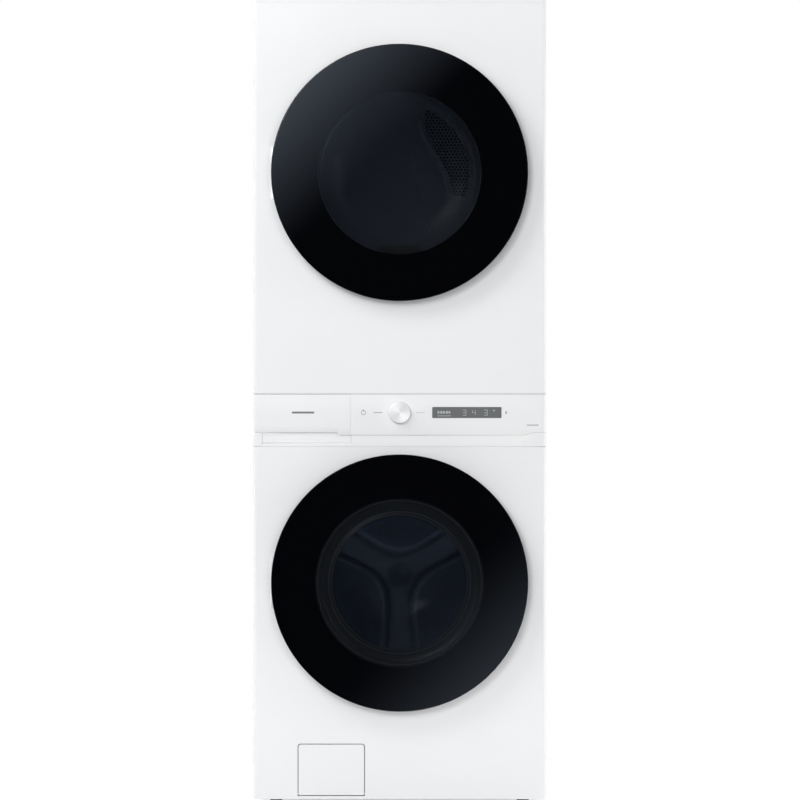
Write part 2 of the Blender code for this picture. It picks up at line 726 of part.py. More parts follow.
def build_bulkheads():
    half = 0.338
    front = block(
        "front_bulkhead", (-half, half), (0.070, 0.073), (DRYER_Z - 0.335, DRYER_Z + half), ZINC
    )
    collar = rod("join_collar", (0, DRYER_Z), 0.2085, (0.0016, 0.0715), sides=BIG)
    duct = block("join_filter_duct", (-0.112, 0.112), (0.041, 0.0722), (1.000, DRYER_Z - 0.165))
    mouth = rod("cut_collar", (0, DRYER_Z), 0.2055, (-0.01, 0.09), sides=BIG)
    duct_room = block("cut_duct_room", (-0.108, 0.108), (0.044, 0.058), (1.004, DRYER_Z - 0.14))
    blower_hole = rod("cut_blower_hole", MOTOR_WHEEL[:2], 0.040, (0.05, 0.09))
    join(front, collar, duct)
    for side in (-1, 1):
        axle = rod("join_roller_axle", roller_place(side), 0.0045, (0.072, 0.120), sides=SMALL)
        join(front, axle)
    cut(front, mouth, duct_room, blower_hole)

    rear = block(
        "rear_bulkhead", (-half, half), (0.694, 0.697), (DRYER_Z - half, DRYER_Z + half), ZINC
    )
    duct_top = DRYER_Z + 0.230
    heater = block(
        "join_heater_duct", (0.034, 0.206), (0.6965, 0.750), (DRYER_Z - 0.130, duct_top)
    )
    heater_room = block(
        "cut_heater_room", (0.0355, 0.2045), (0.690, 0.7485), (DRYER_Z - 0.050, duct_top - 0.0015)
    )
    join(rear, heater)
    cut(rear, heater_room)
    outline = [(0.0497, 0.131), (0.1047, 0.0242), (0.1227, -0.042)]
    outline += arc((0, 0.0305), 0.188, -22.4, 70.0, 8)
    outline += [(0.0455, 0.1817)]
    plate("inlet_grille", [outline], 0.004, spot(0, 0.6915, DRYER_Z), finish=GREY_PLASTIC)
    filter_body = block(
        "lint_filter", (-0.105, 0.105), (0.0465, 0.0555), (DRYER_Z - 0.345, DRYER_Z - 0.182),
        GREY_PLASTIC,
    )
    filter_grip = block(
        "join_filter_grip", (-0.050, 0.050), (0.0466, 0.0554), (DRYER_Z - 0.190, DRYER_Z - 0.168)
    )
    join(filter_body, filter_grip)


def hull(points):
    """The convex outline around a set of points, anticlockwise."""
    ordered = sorted(points)

    def half_of(sequence):
        chain = []
        for point in sequence:
            while len(chain) >= 2:
                (ax, ay), (bx, by) = chain[-2:]
                if (bx - ax) * (point[1] - ay) - (by - ay) * (point[0] - ax) > 1e-9:
                    break
                chain.pop()
            chain.append(point)
        return chain[:-1]

    return half_of(ordered) + half_of(ordered[::-1])


def belt_outline(clearance):
    points = []
    for x, height, radius in (DRUM_WHEEL, MOTOR_WHEEL, IDLER_WHEEL):
        sides = 48 if radius > 0.1 else 20
        points += arc((x, height), radius + clearance, 0, 360 * (sides - 1) / sides, sides - 1)
    return hull(points)


def build_dryer_drive():
    place = spot(MOTOR_WHEEL[0], 0, MOTOR_WHEEL[1])
    shaft = [
        (0, -0.088), (0.009, -0.088), (0.009, -0.118), (0.058, -0.118), (0.058, -0.090),
        (0.062, -0.090), (0.062, -0.122), (0.007, -0.122), (0.007, -0.299), (MOTOR_WHEEL[2], -0.300),
        (MOTOR_WHEEL[2], -0.312), (0, -0.312),
    ]
    turned("blower_wheel", shaft, place, ZINC, MEDIUM, closed=False)
    motor = rod("drive_motor", MOTOR_WHEEL[:2], 0.058, (0.160, 0.290), ZINC)
    foot = block("join_motor_foot", (0.015, 0.105), (0.175, 0.275), (DECK_HEIGHT + 0.0034, 1.045))
    arm = block("join_idler_arm", (0.080, 0.205), (0.280, 0.2895), (1.088, 1.112))
    pin = rod("join_idler_pin", IDLER_WHEEL[:2], 0.005, (0.285, 0.316), sides=SMALL)
    join(motor, foot, arm, pin)
    cut(motor, rod("cut_motor_bore", MOTOR_WHEEL[:2], 0.0078, (0.15, 0.30)))
    idler = [
        (IDLER_WHEEL[2], -0.300), (IDLER_WHEEL[2], -0.312), (0.0058, -0.312), (0.0058, -0.300)
    ]
    turned("idler_pulley", idler, spot(IDLER_WHEEL[0], 0, IDLER_WHEEL[1]), BLACK_PLASTIC, SMALL)
    plate(
        "drive_belt", [belt_outline(0.0026), belt_outline(0.0012)], 0.010,
        spot(0, BELT_DEPTH, 0), finish=BLACK_PLASTIC,
    )
    housing = rod("blower_housing", MOTOR_WHEEL[:2], 0.085, (0.076, 0.130), ZINC)
    pipe = rod("join_exhaust_pipe", EXHAUST[:2], EXHAUST[2], (0.080, 0.775), sides=MEDIUM)
    cavity = rod("cut_blower_room", MOTOR_WHEEL[:2], 0.082, (0.079, 0.127))
    bore = rod("cut_exhaust_bore", EXHAUST[:2], EXHAUST[2] - 0.002, (0.083, 0.80), sides=MEDIUM)
    inlet = rod("cut_blower_inlet", MOTOR_WHEEL[:2], 0.042, (0.06, 0.10))
    shaft_hole = rod("cut_shaft_hole", MOTOR_WHEEL[:2], 0.010, (0.11, 0.14))
    join(housing, pipe)
    cut(housing, cavity, bore, inlet, shaft_hole)


build_front_panels()
build_cabinet()
build_feet()
build_fascia()
build_drawer()
build_service_bay()
build_doors()
build_washer_drum()
build_tub()
build_suspension()
build_water_valve()
build_dryer_drum()
build_bulkheads()
build_dryer_drive()
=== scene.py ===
"""Looks for the laundry tower: smooth doors and drums, enamel, glass, controls, and the studio around it.

Metres, +Z up, the front faces -Y. A turned profile is a list of (radius, distance forward of the front
face), so what lies inside the cabinet is negative.
"""

import math

import bmesh
import bpy
from mathutils import Matrix, Vector


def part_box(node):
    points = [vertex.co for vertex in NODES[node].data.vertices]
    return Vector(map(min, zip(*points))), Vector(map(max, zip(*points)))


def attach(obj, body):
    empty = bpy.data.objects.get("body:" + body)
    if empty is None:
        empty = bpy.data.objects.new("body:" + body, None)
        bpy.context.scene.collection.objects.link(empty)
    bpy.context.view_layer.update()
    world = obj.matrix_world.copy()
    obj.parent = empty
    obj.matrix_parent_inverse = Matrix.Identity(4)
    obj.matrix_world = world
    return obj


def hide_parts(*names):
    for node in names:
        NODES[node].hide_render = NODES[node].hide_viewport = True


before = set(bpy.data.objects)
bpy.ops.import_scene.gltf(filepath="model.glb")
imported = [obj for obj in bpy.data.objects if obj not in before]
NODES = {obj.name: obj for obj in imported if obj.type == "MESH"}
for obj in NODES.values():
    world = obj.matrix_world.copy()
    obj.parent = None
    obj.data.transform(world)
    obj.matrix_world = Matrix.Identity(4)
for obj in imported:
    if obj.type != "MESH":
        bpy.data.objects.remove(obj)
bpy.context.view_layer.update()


def middle(node):
    low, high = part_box(node)
    return (low + high) / 2


FRONT_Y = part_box("control_fascia")[0].y
BACK_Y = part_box("washer_back_panel")[1].y
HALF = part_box("top_cover")[1].x
WASHER_Z = middle("washer_door_lens").z
DRYER_Z = middle("dryer_door_lens").z
CONTROL_Z = middle("display_lens").z
DOOR_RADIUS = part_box("dryer_door_frame")[1].x
LENS_FRONT = FRONT_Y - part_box("dryer_door_lens")[0].y
DOME_RISE = 0.0034
LENS_BACK = 0.0422
SHEET = 0.0012
ROUND = 160
DOORS = {
    "washer": {"window": 0.197, "ring": 0.160, "z": WASHER_Z},
    "dryer": {"window": 0.191, "ring": 0.191, "z": DRYER_Z},
}
ARM_ANGLES = (-90, 30, 150)
PLATE_DEPTH = 0.6920
ROUGHNESS_SPREAD = 0.12


# ---- materials


def add_node(tree, kind, *by_place, **by_name):
    """A shader node whose inputs are set, or linked where another node's output is given."""
    node = tree.nodes.new(kind)
    given = list(zip(node.inputs, by_place))
    given += [(node.inputs[name.replace("_", " ")], value) for name, value in by_name.items()]
    for socket, value in given:
        if isinstance(value, bpy.types.NodeSocket):
            tree.links.new(value, socket)
        else:
            socket.default_value = value
    return node


def compute(tree, operation, *values):
    node = add_node(tree, "ShaderNodeMath", *values)
    node.operation = operation
    return node.outputs["Value"]


def shader_of(made):
    return made.node_tree.nodes["Principled BSDF"]


def drive(made, **outputs):
    """Links node outputs to the inputs of a material's shader."""
    for name, output in outputs.items():
        made.node_tree.links.new(output, shader_of(made).inputs[name.replace("_", " ")])
    return made


def material(name, colour, roughness, metallic=0.0, **sockets):
    """A Principled material whose roughness is slightly uneven, as every real surface is."""
    made = bpy.data.materials.new(name)
    made.use_nodes = True
    shader, tree = shader_of(made), made.node_tree
    shader.inputs["Base Color"].default_value = (*colour, 1.0)
    shader.inputs["Metallic"].default_value = metallic
    for socket, value in sockets.items():
        shader.inputs[socket.replace("_", " ")].default_value = value
    least, most = roughness * (1 - ROUGHNESS_SPREAD), roughness * (1 + ROUGHNESS_SPREAD)
    noise = place_noise(tree, 14.0)
    spanned = add_node(tree, "ShaderNodeMapRange", Value=noise, To_Min=least, To_Max=most)
    return drive(made, Roughness=spanned.outputs["Result"])


def place_noise(tree, scale, detail=3.0, stretch=(1.0, 1.0, 1.0)):
    where = add_node(tree, "ShaderNodeTexCoord").outputs["Object"]
    mapped = add_node(tree, "ShaderNodeMapping", Vector=where, Scale=stretch).outputs["Vector"]
    return add_node(tree, "ShaderNodeTexNoise", Vector=mapped, Scale=scale, Detail=detail).outputs["Fac"]


def bumpy(made, scale, strength, distance=0.0004):
    tree = made.node_tree
    height = place_noise(tree, scale, 2.0)
    bump = add_node(tree, "ShaderNodeBump", Strength=strength, Distance=distance, Height=height)
    return drive(made, Normal=bump.outputs["Normal"])


def colour_ramp(tree, amount, stops):
    """The colour at an amount, from (place, colour) stops."""
    ramp = add_node(tree, "ShaderNodeValToRGB", Fac=amount)
    while len(ramp.color_ramp.elements) < len(stops):
        ramp.color_ramp.elements.new(0.5)
    for element, (place, _) in zip(ramp.color_ramp.elements, stops):
        element.position = place
    for element, (_, colour) in zip(ramp.color_ramp.elements, stops):
        element.color = (*colour, 1.0)
    return ramp.outputs["Color"]


def varied(made, dark, light, scale, stretch=(1.0, 1.0, 1.0)):
    """Colour that drifts between two near shades."""
    tree = made.node_tree
    share = place_noise(tree, scale, 4.0, stretch)
    return drive(made, Base_Color=colour_ramp(tree, share, ((0.35, dark), (0.65, light))))


def perforated(made, pitch, hole, dark):
    """Darkens round holes in rows that run round a drum's wall, from the wall's own UVs in metres."""
    tree = made.node_tree
    uv = add_node(tree, "ShaderNodeUVMap").outputs["UV"]
    cells = add_node(tree, "ShaderNodeTexVoronoi", Vector=uv, Scale=1.0 / pitch, Randomness=0.0)
    inside = compute(tree, "LESS_THAN", cells.outputs["Distance"], hole / pitch / 2)
    mix = tree.nodes.new("ShaderNodeMix")
    mix.data_type = "RGBA"
    mix.inputs["A"].default_value = shader_of(made).inputs["Base Color"].default_value
    mix.inputs["B"].default_value = (*dark, 1.0)
    tree.links.new(inside, mix.inputs["Factor"])
    bump = add_node(tree, "ShaderNodeBump", Distance=0.0008, Height=inside)
    bump.invert = True
    return drive(made, Base_Color=mix.outputs["Result"], Normal=bump.outputs["Normal"])


def paint_knob_sheen(made, centre_z, dark, light):
    """Painted sheen of a spun top: two light and two dark fans around the knob's axis, standing in for its
    highlights.
    """
    tree = made.node_tree
    where = add_node(tree, "ShaderNodeTexCoord").outputs["Object"]
    split = add_node(tree, "ShaderNodeSeparateXYZ", Vector=where)
    up = compute(tree, "SUBTRACT", split.outputs["Z"], centre_z)
    angle = compute(tree, "ARCTAN2", up, split.outputs["X"])
    wave = compute(tree, "SINE", compute(tree, "MULTIPLY_ADD", angle, 2.0, math.pi))
    share = compute(tree, "MULTIPLY_ADD", wave, 0.5, 0.5)
    return drive(made, Base_Color=colour_ramp(tree, share, ((0.0, dark), (1.0, light))))


def clear_behind(made, alpha):
    """A tint that counts once per pane: the far side of the glass lets everything through."""
    tree = made.node_tree
    behind = add_node(tree, "ShaderNodeNewGeometry").outputs["Backfacing"]
    return drive(made, Alpha=compute(tree, "MULTIPLY_ADD", behind, -alpha, alpha))


def paint_light_by_relief(made, stops):
    """Paints light and shade on a surface by its stored relief, in (relief, colour) stops."""
    tree = made.node_tree
    relief = add_node(tree, "ShaderNodeAttribute")
    relief.attribute_name = "relief"
    first, last = stops[0][0], stops[-1][0]
    share = add_node(
        tree, "ShaderNodeMapRange", Value=relief.outputs["Fac"], From_Min=first, From_Max=last
    ).outputs["Result"]
    stops = [((place - first) / (last - first), colour) for place, colour in stops]
    return drive(made, Base_Color=colour_ramp(tree, share, stops))


def make_materials():
    enamel = material("white_enamel", (0.83, 0.835, 0.845), 0.38)
    varied(enamel, (0.820, 0.826, 0.838), (0.838, 0.842, 0.850), 3.0)
    bumpy(enamel, 420.0, 0.05, 0.0002)
    moulding = material("white_moulding", (0.82, 0.823, 0.83), 0.42)
    varied(moulding, (0.815, 0.820, 0.828), (0.828, 0.831, 0.836), 5.0)
    bumpy(moulding, 1400.0, 0.06, 0.0001)
    made = {
        "enamel": enamel,
        "moulding": moulding,
        "black_glass": material("black_glass", (0.0012, 0.0014, 0.0022), 0.03),
        "window_glass": material("window_glass", (0.0012, 0.0014, 0.0022), 0.03, Alpha=0.80),
        "clear_glass": material("clear_glass", (0.02, 0.022, 0.024), 0.04, Alpha=0.22, Coat_Weight=1.0),
        "black_plastic": bumpy(material("black_plastic", (0.018, 0.018, 0.020), 0.45), 1100.0, 0.12),
        "edge_black": bumpy(
            material("edge_black", (0.006, 0.006, 0.007), 0.85, Specular_IOR_Level=0.08), 1100.0, 0.12
        ),
        "grey_plastic": bumpy(material("grey_plastic", (0.22, 0.23, 0.24), 0.48), 1100.0, 0.10),
        "grille": bumpy(material("grille_plastic", (0.42, 0.45, 0.50), 0.35), 900.0, 0.10),
        "grille_edge": bumpy(material("grille_edge", (0.58, 0.63, 0.70), 0.30), 900.0, 0.08),
        "rubber": bumpy(material("gasket_rubber", (0.11, 0.115, 0.12), 0.62), 700.0, 0.25),
        "zinc": bumpy(material("zinc_sheet", (0.56, 0.57, 0.58), 0.36, 1.0), 60.0, 0.08),
        "steel": material("stainless", (0.55, 0.56, 0.58), 0.27, 1.0),
        "drum_back": material("drum_back_steel", (0.40, 0.44, 0.50), 0.55, 0.35),
        "pressed_back_painted_light": bumpy(material("pressed_steel_painted_light", (0.40, 0.44, 0.50), 0.50, 0.25),
        260.0, 0.10),
        "bowl_ring_painted_glow": material("bowl_moulding_painted_glow", (0.050, 0.058, 0.070), 0.22),
        "painted_glint_line": material("painted_glint_line", (0.25, 0.28, 0.32), 0.30),
        "brass": bumpy(material("port_brass", (0.62, 0.46, 0.20), 0.32, 1.0), 500.0, 0.10),
        "copper": bumpy(material("winding_copper", (0.55, 0.24, 0.10), 0.40, 1.0), 900.0, 0.30),
        "cast": bumpy(material("cast_block", (0.28, 0.28, 0.28), 0.85), 90.0, 0.60, 0.002),
        "display": material("display_glass", (0.135, 0.138, 0.138), 0.22),
        "print": material("grey_print", (0.16, 0.16, 0.17), 0.55),
        "pale_print": material("pale_print", (0.52, 0.52, 0.53), 0.55),
        "touch": material("touch_mark", (0.93, 0.93, 0.93), 0.40),
        "lit": material("lit_segments", (0.36, 0.37, 0.37), 0.5),
        "knob": material("knob_painted_sheen", (0.80, 0.80, 0.80), 0.30, 0.0),
        "lamp": material("lamp_lens", (0.45, 0.46, 0.48), 0.25),
    }
    varied(made["zinc"], (0.50, 0.51, 0.52), (0.60, 0.61, 0.62), 45.0)
    varied(made["steel"], (0.50, 0.51, 0.53), (0.60, 0.61, 0.63), 220.0, (1.0, 0.02, 1.0))
    varied(made["drum_back"], (0.38, 0.42, 0.48), (0.42, 0.46, 0.52), 60.0)
    # Painted light and shade on the drum's back: the pockets between the arms and a band just inside each
    # arm's edge are painted dark as shade, and a band along each arm's foot is painted light as a highlight.
    paint_light_by_relief(made["pressed_back_painted_light"], (
        (-0.050, (0.34, 0.38, 0.44)), (-0.012, (0.26, 0.30, 0.36)), (-0.004, (0.18, 0.21, 0.27)),
        (0.004, (0.42, 0.48, 0.56)), (0.010, (0.42, 0.48, 0.56)), (0.016, (0.14, 0.17, 0.23)),
        (0.060, (0.11, 0.14, 0.20)),
    ))
    varied(made["grille"], (0.42, 0.46, 0.52), (0.46, 0.50, 0.56), 30.0)
    made["holed_steel"] = perforated(
        material("perforated_stainless", (0.55, 0.56, 0.58), 0.27, 1.0), 0.014, 0.006,
        (0.02, 0.02, 0.022),
    )
    clear_behind(made["window_glass"], 0.80)
    clear_behind(made["clear_glass"], 0.22)
    # The display's segments and the drum lamp glow as lamps; the bowl ring's faint glow and the ring lines'
    # brighter glow are painted light, standing in for light and glints on the bowl's glass.
    for name, strength in (("lit", 0.06), ("lamp", 0.06), ("bowl_ring_painted_glow", 0.012), ("painted_glint_line", 0.075)):
        shader = shader_of(made[name])
        shader.inputs["Emission Color"].default_value = (0.66, 0.84, 1.0, 1.0)
        shader.inputs["Emission Strength"].default_value = strength
    # The knob's light and dark fans are a painted sheen.
    paint_knob_sheen(made["knob"], CONTROL_Z, (0.70, 0.71, 0.73), (0.94, 0.94, 0.95))
    return made


MATERIALS = make_materials()


# ---- pieces


def shade(mesh, degrees=32):
    mesh.shade_smooth()
    mesh.set_sharp_from_angle(angle=math.radians(degrees))


def new_object(name, data):
    item = bpy.data.objects.new(name, data)
    bpy.context.scene.collection.objects.link(item)
    return item


def add_piece(name, shape, look, body, replaces=(), outward=True):
    mesh = mesh_from(shape, name, outward)
    mesh.materials.append(MATERIALS[look])
    shade(mesh)
    item = new_object(name, mesh)
    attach(item, body)
    if replaces:
        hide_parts(*replaces)
    return item


def mesh_from(shape, name, outward=True):
    if outward:
        bmesh.ops.recalc_face_normals(shape, faces=shape.faces)
    mesh = bpy.data.meshes.new(name)
    shape.to_mesh(mesh)
    shape.free()
    return mesh


def stitch(shape, rows, closed=False):
    """Joins neighbouring rows of vertices with quads."""
    for one, two in zip(rows, rows[1:]):
        for index in range(len(one) if closed else len(one) - 1):
            following = (index + 1) % len(one)
            shape.faces.new((one[index], two[index], two[following], one[following]))


def mm(*places):
    """Places given in millimetres, as metres."""
    return [tuple(value / 1000 for value in place) for place in places]


def polar(radius, angle, x=0.0, z=0.0):
    return x + radius * math.cos(angle), z + radius * math.sin(angle)


def bevel(shape, edges, width, segments):
    bmesh.ops.bevel(shape, geom=edges, offset=width, segments=segments, profile=0.5, affect="EDGES")


def ring_shape(profile, centre_x, centre_z, sides=ROUND, closed=True):
    """Turns (radius, forward) points about a front-to-back axis, with UVs in metres on the walls."""
    shape = bmesh.new()
    uv = shape.loops.layers.uv.new("UVMap")
    columns = []
    for radius, forward in profile:
        if radius < 1e-6:
            columns.append([shape.verts.new((centre_x, FRONT_Y - forward, centre_z))])
            continue
        column = []
        for step in range(sides):
            angle = 2 * math.pi * step / sides
            x, z = polar(radius, angle, centre_x, centre_z)
            column.append(shape.verts.new((x, FRONT_Y - forward, z)))
        columns.append(column)
    pairs = list(zip(range(len(profile) - 1), range(1, len(profile))))
    if closed:
        pairs.append((len(profile) - 1, 0))
    for first, second in pairs:
        one, two = columns[first], columns[second]
        reach = max(profile[first][0], profile[second][0])
        for step in range(sides):
            following = (step + 1) % sides
            corners = [one[step % len(one)], one[following % len(one)]]
            corners += [two[following % len(two)], two[step % len(two)]]
            corners = list(dict.fromkeys(corners))
            if len(corners) < 3:
                continue
            face = shape.faces.new(corners)
            for loop in face.loops:
                beyond = loop.vert in (one[following % len(one)], two[following % len(two)])
                around = step + int(beyond)
                along = FRONT_Y - loop.vert.co.y
                loop[uv].uv = (reach * 2 * math.pi * around / sides, along)
    return shape


def turned(name, profile, centre_z, look, body, replaces=(), closed=True, centre_x=0.0, sides=ROUND):
    return add_piece(name, ring_shape(profile, centre_x, centre_z, sides, closed), look, body, replaces)


def plug(radius, centre_z, sides):
    """A short cylinder through the front face, for cutting a round hole."""
    return ring_shape([(0, 0.01), (radius, 0.01), (radius, -0.01), (0, -0.01)], 0, centre_z, sides, False)


def box_shape(x, depth, z, rounding=0.0):
    shape = bmesh.new()
    bmesh.ops.create_cube(shape, size=1.0)
    low = Vector((x[0], FRONT_Y + depth[0], z[0]))
    high = Vector((x[1], FRONT_Y + depth[1], z[1]))
    bmesh.ops.scale(shape, vec=high - low, verts=shape.verts)
    bmesh.ops.translate(shape, vec=(low + high) / 2, verts=shape.verts)
    if rounding:
        bevel(shape, list(shape.edges), rounding, 2)
    return shape


def block(name, x, depth, z, look, body, rounding=0.0, replaces=()):
    return add_piece(name, box_shape(x, depth, z, rounding), look, body, replaces)


def carve(item, *shapes):
    """Cuts shapes out of a piece for good. Their objects are tools, and are removed again."""
    tools = [new_object("tool", mesh_from(shape, "tool")) for shape in shapes]
    for tool in tools:
        boolean = item.modifiers.new(tool.name, "BOOLEAN")
        boolean.operation = "DIFFERENCE"
        boolean.solver = "EXACT"
        boolean.object = tool
    bpy.context.view_layer.update()
    evaluated = item.evaluated_get(bpy.context.evaluated_depsgraph_get())
    carved = bpy.data.meshes.new_from_object(evaluated)
    item.modifiers.clear()
    item.data = carved
    for tool in tools:
        bpy.data.objects.remove(tool, do_unlink=True)
    shade(item.data)


def bevel_edges(item, width, segments, degrees):
    """Rounds a piece's edges by a modifier, without touching its mesh."""
    rounding = item.modifiers.new("rounded edges", "BEVEL")
    rounding.width = width
    rounding.segments = segments
    rounding.limit_method = "ANGLE"
    rounding.angle_limit = math.radians(degrees)


def thicken(item, thickness=SHEET, even=False):
    solidify = item.modifiers.new("sheet", "SOLIDIFY")
    solidify.thickness = thickness
    solidify.offset = -1.0
    solidify.use_even_offset = even


# ---- doors


def dome(radius):
    """How far forward the lens stands at a radius: a very shallow dome."""
    return LENS_FRONT - DOME_RISE * (radius / DOOR_RADIUS) ** 2


def build_lens(door, window, z):
    """The outer glass: a black printed border and a tinted window in the same dome."""
    body, replaced = door + "_door", (door + "_door_lens",)
    edge, rounding = DOOR_RADIUS, 0.0012
    reaches = [window + (edge - rounding - window) * step / 14 for step in range(15)]
    reaches.insert(14, edge - 0.0015)
    border = [(radius, dome(radius)) for radius in reaches]
    lip = dome(edge - rounding)
    for step in range(1, 5):
        angle = math.radians(22.5 * step)
        radius = edge - rounding + rounding * math.sin(angle)
        border.append((radius, lip - rounding * (1 - math.cos(angle))))
    border += [(edge, LENS_BACK), (window, LENS_BACK)]
    turned(door + "_lens_border", border, z, "black_glass", body, replaced)
    paint_ring(door + "_lens_border", z, edge - 0.0013)
    face = [(window * step / 12, dome(window * step / 12)) for step in range(12)]
    face += [(window - 0.0001, dome(window)), (window - 0.0001, 0.0440), (0.0, 0.0462)]
    turned(door + "_lens_window", face, z, "window_glass", body, replaced, closed=False)


def paint_ring(name, centre_z, reach):
    """Gives the faces beyond a radius the satin black of the moulding instead of the glass."""
    mesh = bpy.data.objects[name].data
    mesh.materials.append(MATERIALS["edge_black"])
    for face in mesh.polygons:
        if math.hypot(face.center.x, face.center.z - centre_z) > reach:
            face.material_index = 1


def build_door_ring(door, window, ring, z):
    outer = DOOR_RADIUS - 0.0006
    profile = [
        (outer - 0.0030, 0.0418), (outer - 0.0012, 0.0418), (outer - 0.0004, 0.0412),
        (outer, 0.0400), (outer, 0.0060), (outer - 0.002, 0.0040), (ring, 0.0040), (ring, 0.0080),
    ]
    if ring < window:
        profile.append((window, 0.0080))
    profile += [
        (window, 0.038), (window + 0.004, 0.038), (window + 0.004, 0.0080), (outer - 0.003, 0.0080)
    ]
    item = turned(
        door + "_door_ring", profile, z, "black_plastic", door + "_door",
        (door + "_door_frame",),
    )
    hinge_room = box_shape((-0.32, -0.262), (-0.041, 0.01), (z - 0.064, z + 0.064))
    grip_room = box_shape((0.262, 0.32), (-0.026, 0.01), (z - 0.055, z + 0.055), 0.004)
    carve(item, hinge_room, grip_room)
    paint_ring(door + "_door_ring", z, outer - 0.0016)


def build_washer_bowl():
    outer = mm(
        (185, 8.4), (157, 8.4), (156, 0), (150, -30), (141, -60), (131, -90), (119, -116), (106, -127),
        (85, -133), (45, -137.5), (0, -139),
    )
    inner = mm(
        (0, -134), (44, -132.5), (83, -128.2), (102, -122.5), (113.5, -112), (125, -88), (135, -58),
        (144, -29), (150.5, 0), (151.5, 12.5), (185, 12.5),
    )
    turned(
        "washer_bowl_glass", inner + outer, WASHER_Z, "clear_glass", "washer_door",
        ("washer_door_bowl",), closed=False,
    )
    trim = mm(
        (196.8, 30), (196.8, 13.5), (158, 13.5), (156.2, 15), (157.5, 17.2), (160, 17.2), (164, 16),
        (178, 16.4), (183.8, 17.6), (185, 19.6), (187.2, 20), (192.5, 22.2), (194, 30),
    )
    # The trim's faint glow is painted light.
    turned("washer_bowl_trim", trim, WASHER_Z, "bowl_ring_painted_glow", "washer_door")


def build_ring_lines():
    """Fine raised lines round the bowl's mount, just behind the window, glowing as painted glints."""
    for number, radius in enumerate((0.1580, 0.1660, 0.1920, 0.1955), 1):
        bead = [(radius - 0.0005, 0.0228), (radius, 0.0238), (radius + 0.0005, 0.0228)]
        if radius < 0.170:
            bead = [(across, forward - 0.0060) for across, forward in bead]
        turned(
            "bowl_ring_line_%d" % number, bead, WASHER_Z, "painted_glint_line", "washer_door"
        )


def build_dryer_window():
    profile = mm(
        (0, -14), (120, -13.5), (165, -12.2), (174, -8), (181, 8), (182, 12), (190, 12), (190, 4),
        (186, 4), (178.5, -10), (172, -16), (120, -17.5), (0, -18),
    )
    turned(
        "dryer_inner_glass", profile, DRYER_Z, "clear_glass", "dryer_door",
        ("dryer_door_window",), closed=False,
    )


def build_painted_glass_glint():
    """A painted reflection: a bright glowing line part way round the dryer's inner glass, at its upper left.
    """
    shape = bmesh.new()
    rows = []
    for step in range(33):
        angle = math.radians(122 + 64 * step / 32)
        half = 0.0017 * math.sin(math.pi * max(0.02, min(0.98, step / 32)))
        row = []
        for radius, forward in ((0.1842 - half, 0.0126), (0.1842, 0.0132), (0.1842 + half, 0.0126)):
            x, z = polar(radius, angle, 0.0, DRYER_Z)
            row.append(shape.verts.new((x, FRONT_Y - forward, z)))
        rows.append(row)
    stitch(shape, rows)
    add_piece("painted_glass_glint", shape, "painted_glint_line", "dryer_door")


# ---- washer inside


def build_gasket():
    profile = mm(
        (212.5, 2.9), (212.8, 0.6), (204.2, 0.6), (204.2, -18), (208.5, -26), (210.5, -32),
        (208.5, -40), (203.5, -48), (203.5, -54), (214, -64), (214.6, -72), (205.2, -72), (198.5, -60),
        (198.5, -47), (203, -38), (204.5, -32), (202.5, -26), (197, -18), (180, -15.5), (166, -14),
        (163.2, -11), (163.4, -7.5), (166, -6.2), (198, -3.5), (200, 2.6),
    )
    turned("door_bellows", profile, WASHER_Z, "rubber", "cabinet", ("door_gasket",), sides=128)


def arm_gap(radius, angle):
    """Distance outside the three broad arms of the drum's back, whose corners are filleted."""
    blend = 0.016
    total = 0.0
    for degrees in ARM_ANGLES:
        turn = angle - math.radians(degrees)
        along = radius * math.cos(turn)
        across = abs(radius * math.sin(turn))
        flare = 0.026 + 0.020 * max(0.0, along / 0.25) ** 2
        gap = across - flare if along > 0 else math.hypot(across, along) - flare
        total += math.exp(-max(-0.2, gap) / blend)
    return -blend * math.log(total)


def arm_height(radius, angle):
    """Relief of the drum's back: the arms stand forward and meet round a cone."""
    slope = max(0.0, min(1.0, 0.5 - arm_gap(radius, angle) / 0.016))
    lift = 0.026 * slope * slope * (3 - 2 * slope)
    fade = min(1.0, max(0.0, (0.262 - radius) / 0.012))
    cone = 0.030 * max(0.0, 1 - radius / 0.030) ** 0.9
    dish = -0.010 * (1 - min(1.0, radius / 0.26) ** 2)
    return 0.012 + (lift + dish) * fade + cone


def build_drum_back():
    """A polar sheet in front of the drum's flat back, pressed into three arms, with painted light and shade
    from its stored relief.
    """
    shape = bmesh.new()
    rings, sides = 56, 180
    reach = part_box("washer_drum")[1].x - 0.0025
    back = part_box("washer_drum")[1].y - 0.006
    hub = shape.verts.new((0.0, back - arm_height(0.0, 0.0), WASHER_Z))
    last = None
    reliefs = [-0.030]
    for ring in range(1, rings + 1):
        radius = reach * ring / rings
        row = []
        for side in range(sides):
            angle = 2 * math.pi * side / sides
            height = arm_height(radius, angle)
            reliefs.append(arm_gap(radius, angle))
            x, z = polar(radius, angle, 0.0, WASHER_Z)
            row.append(shape.verts.new((x, back - height, z)))
        for side in range(sides):
            following = (side + 1) % sides
            if last is None:
                shape.faces.new((hub, row[side], row[following]))
            else:
                shape.faces.new((last[side], row[side], row[following], last[following]))
        last = row
    item = add_piece(
        "washer_drum_back", shape, "pressed_back_painted_light", "wash_drum"
    )
    item.data.set_sharp_from_angle(angle=math.radians(180))
    # The stored relief drives the painted light and shade in the sheet's colour.
    relief = item.data.attributes.new("relief", "FLOAT", "POINT")
    for entry, gap in zip(relief.data, reliefs):
        entry.value = gap


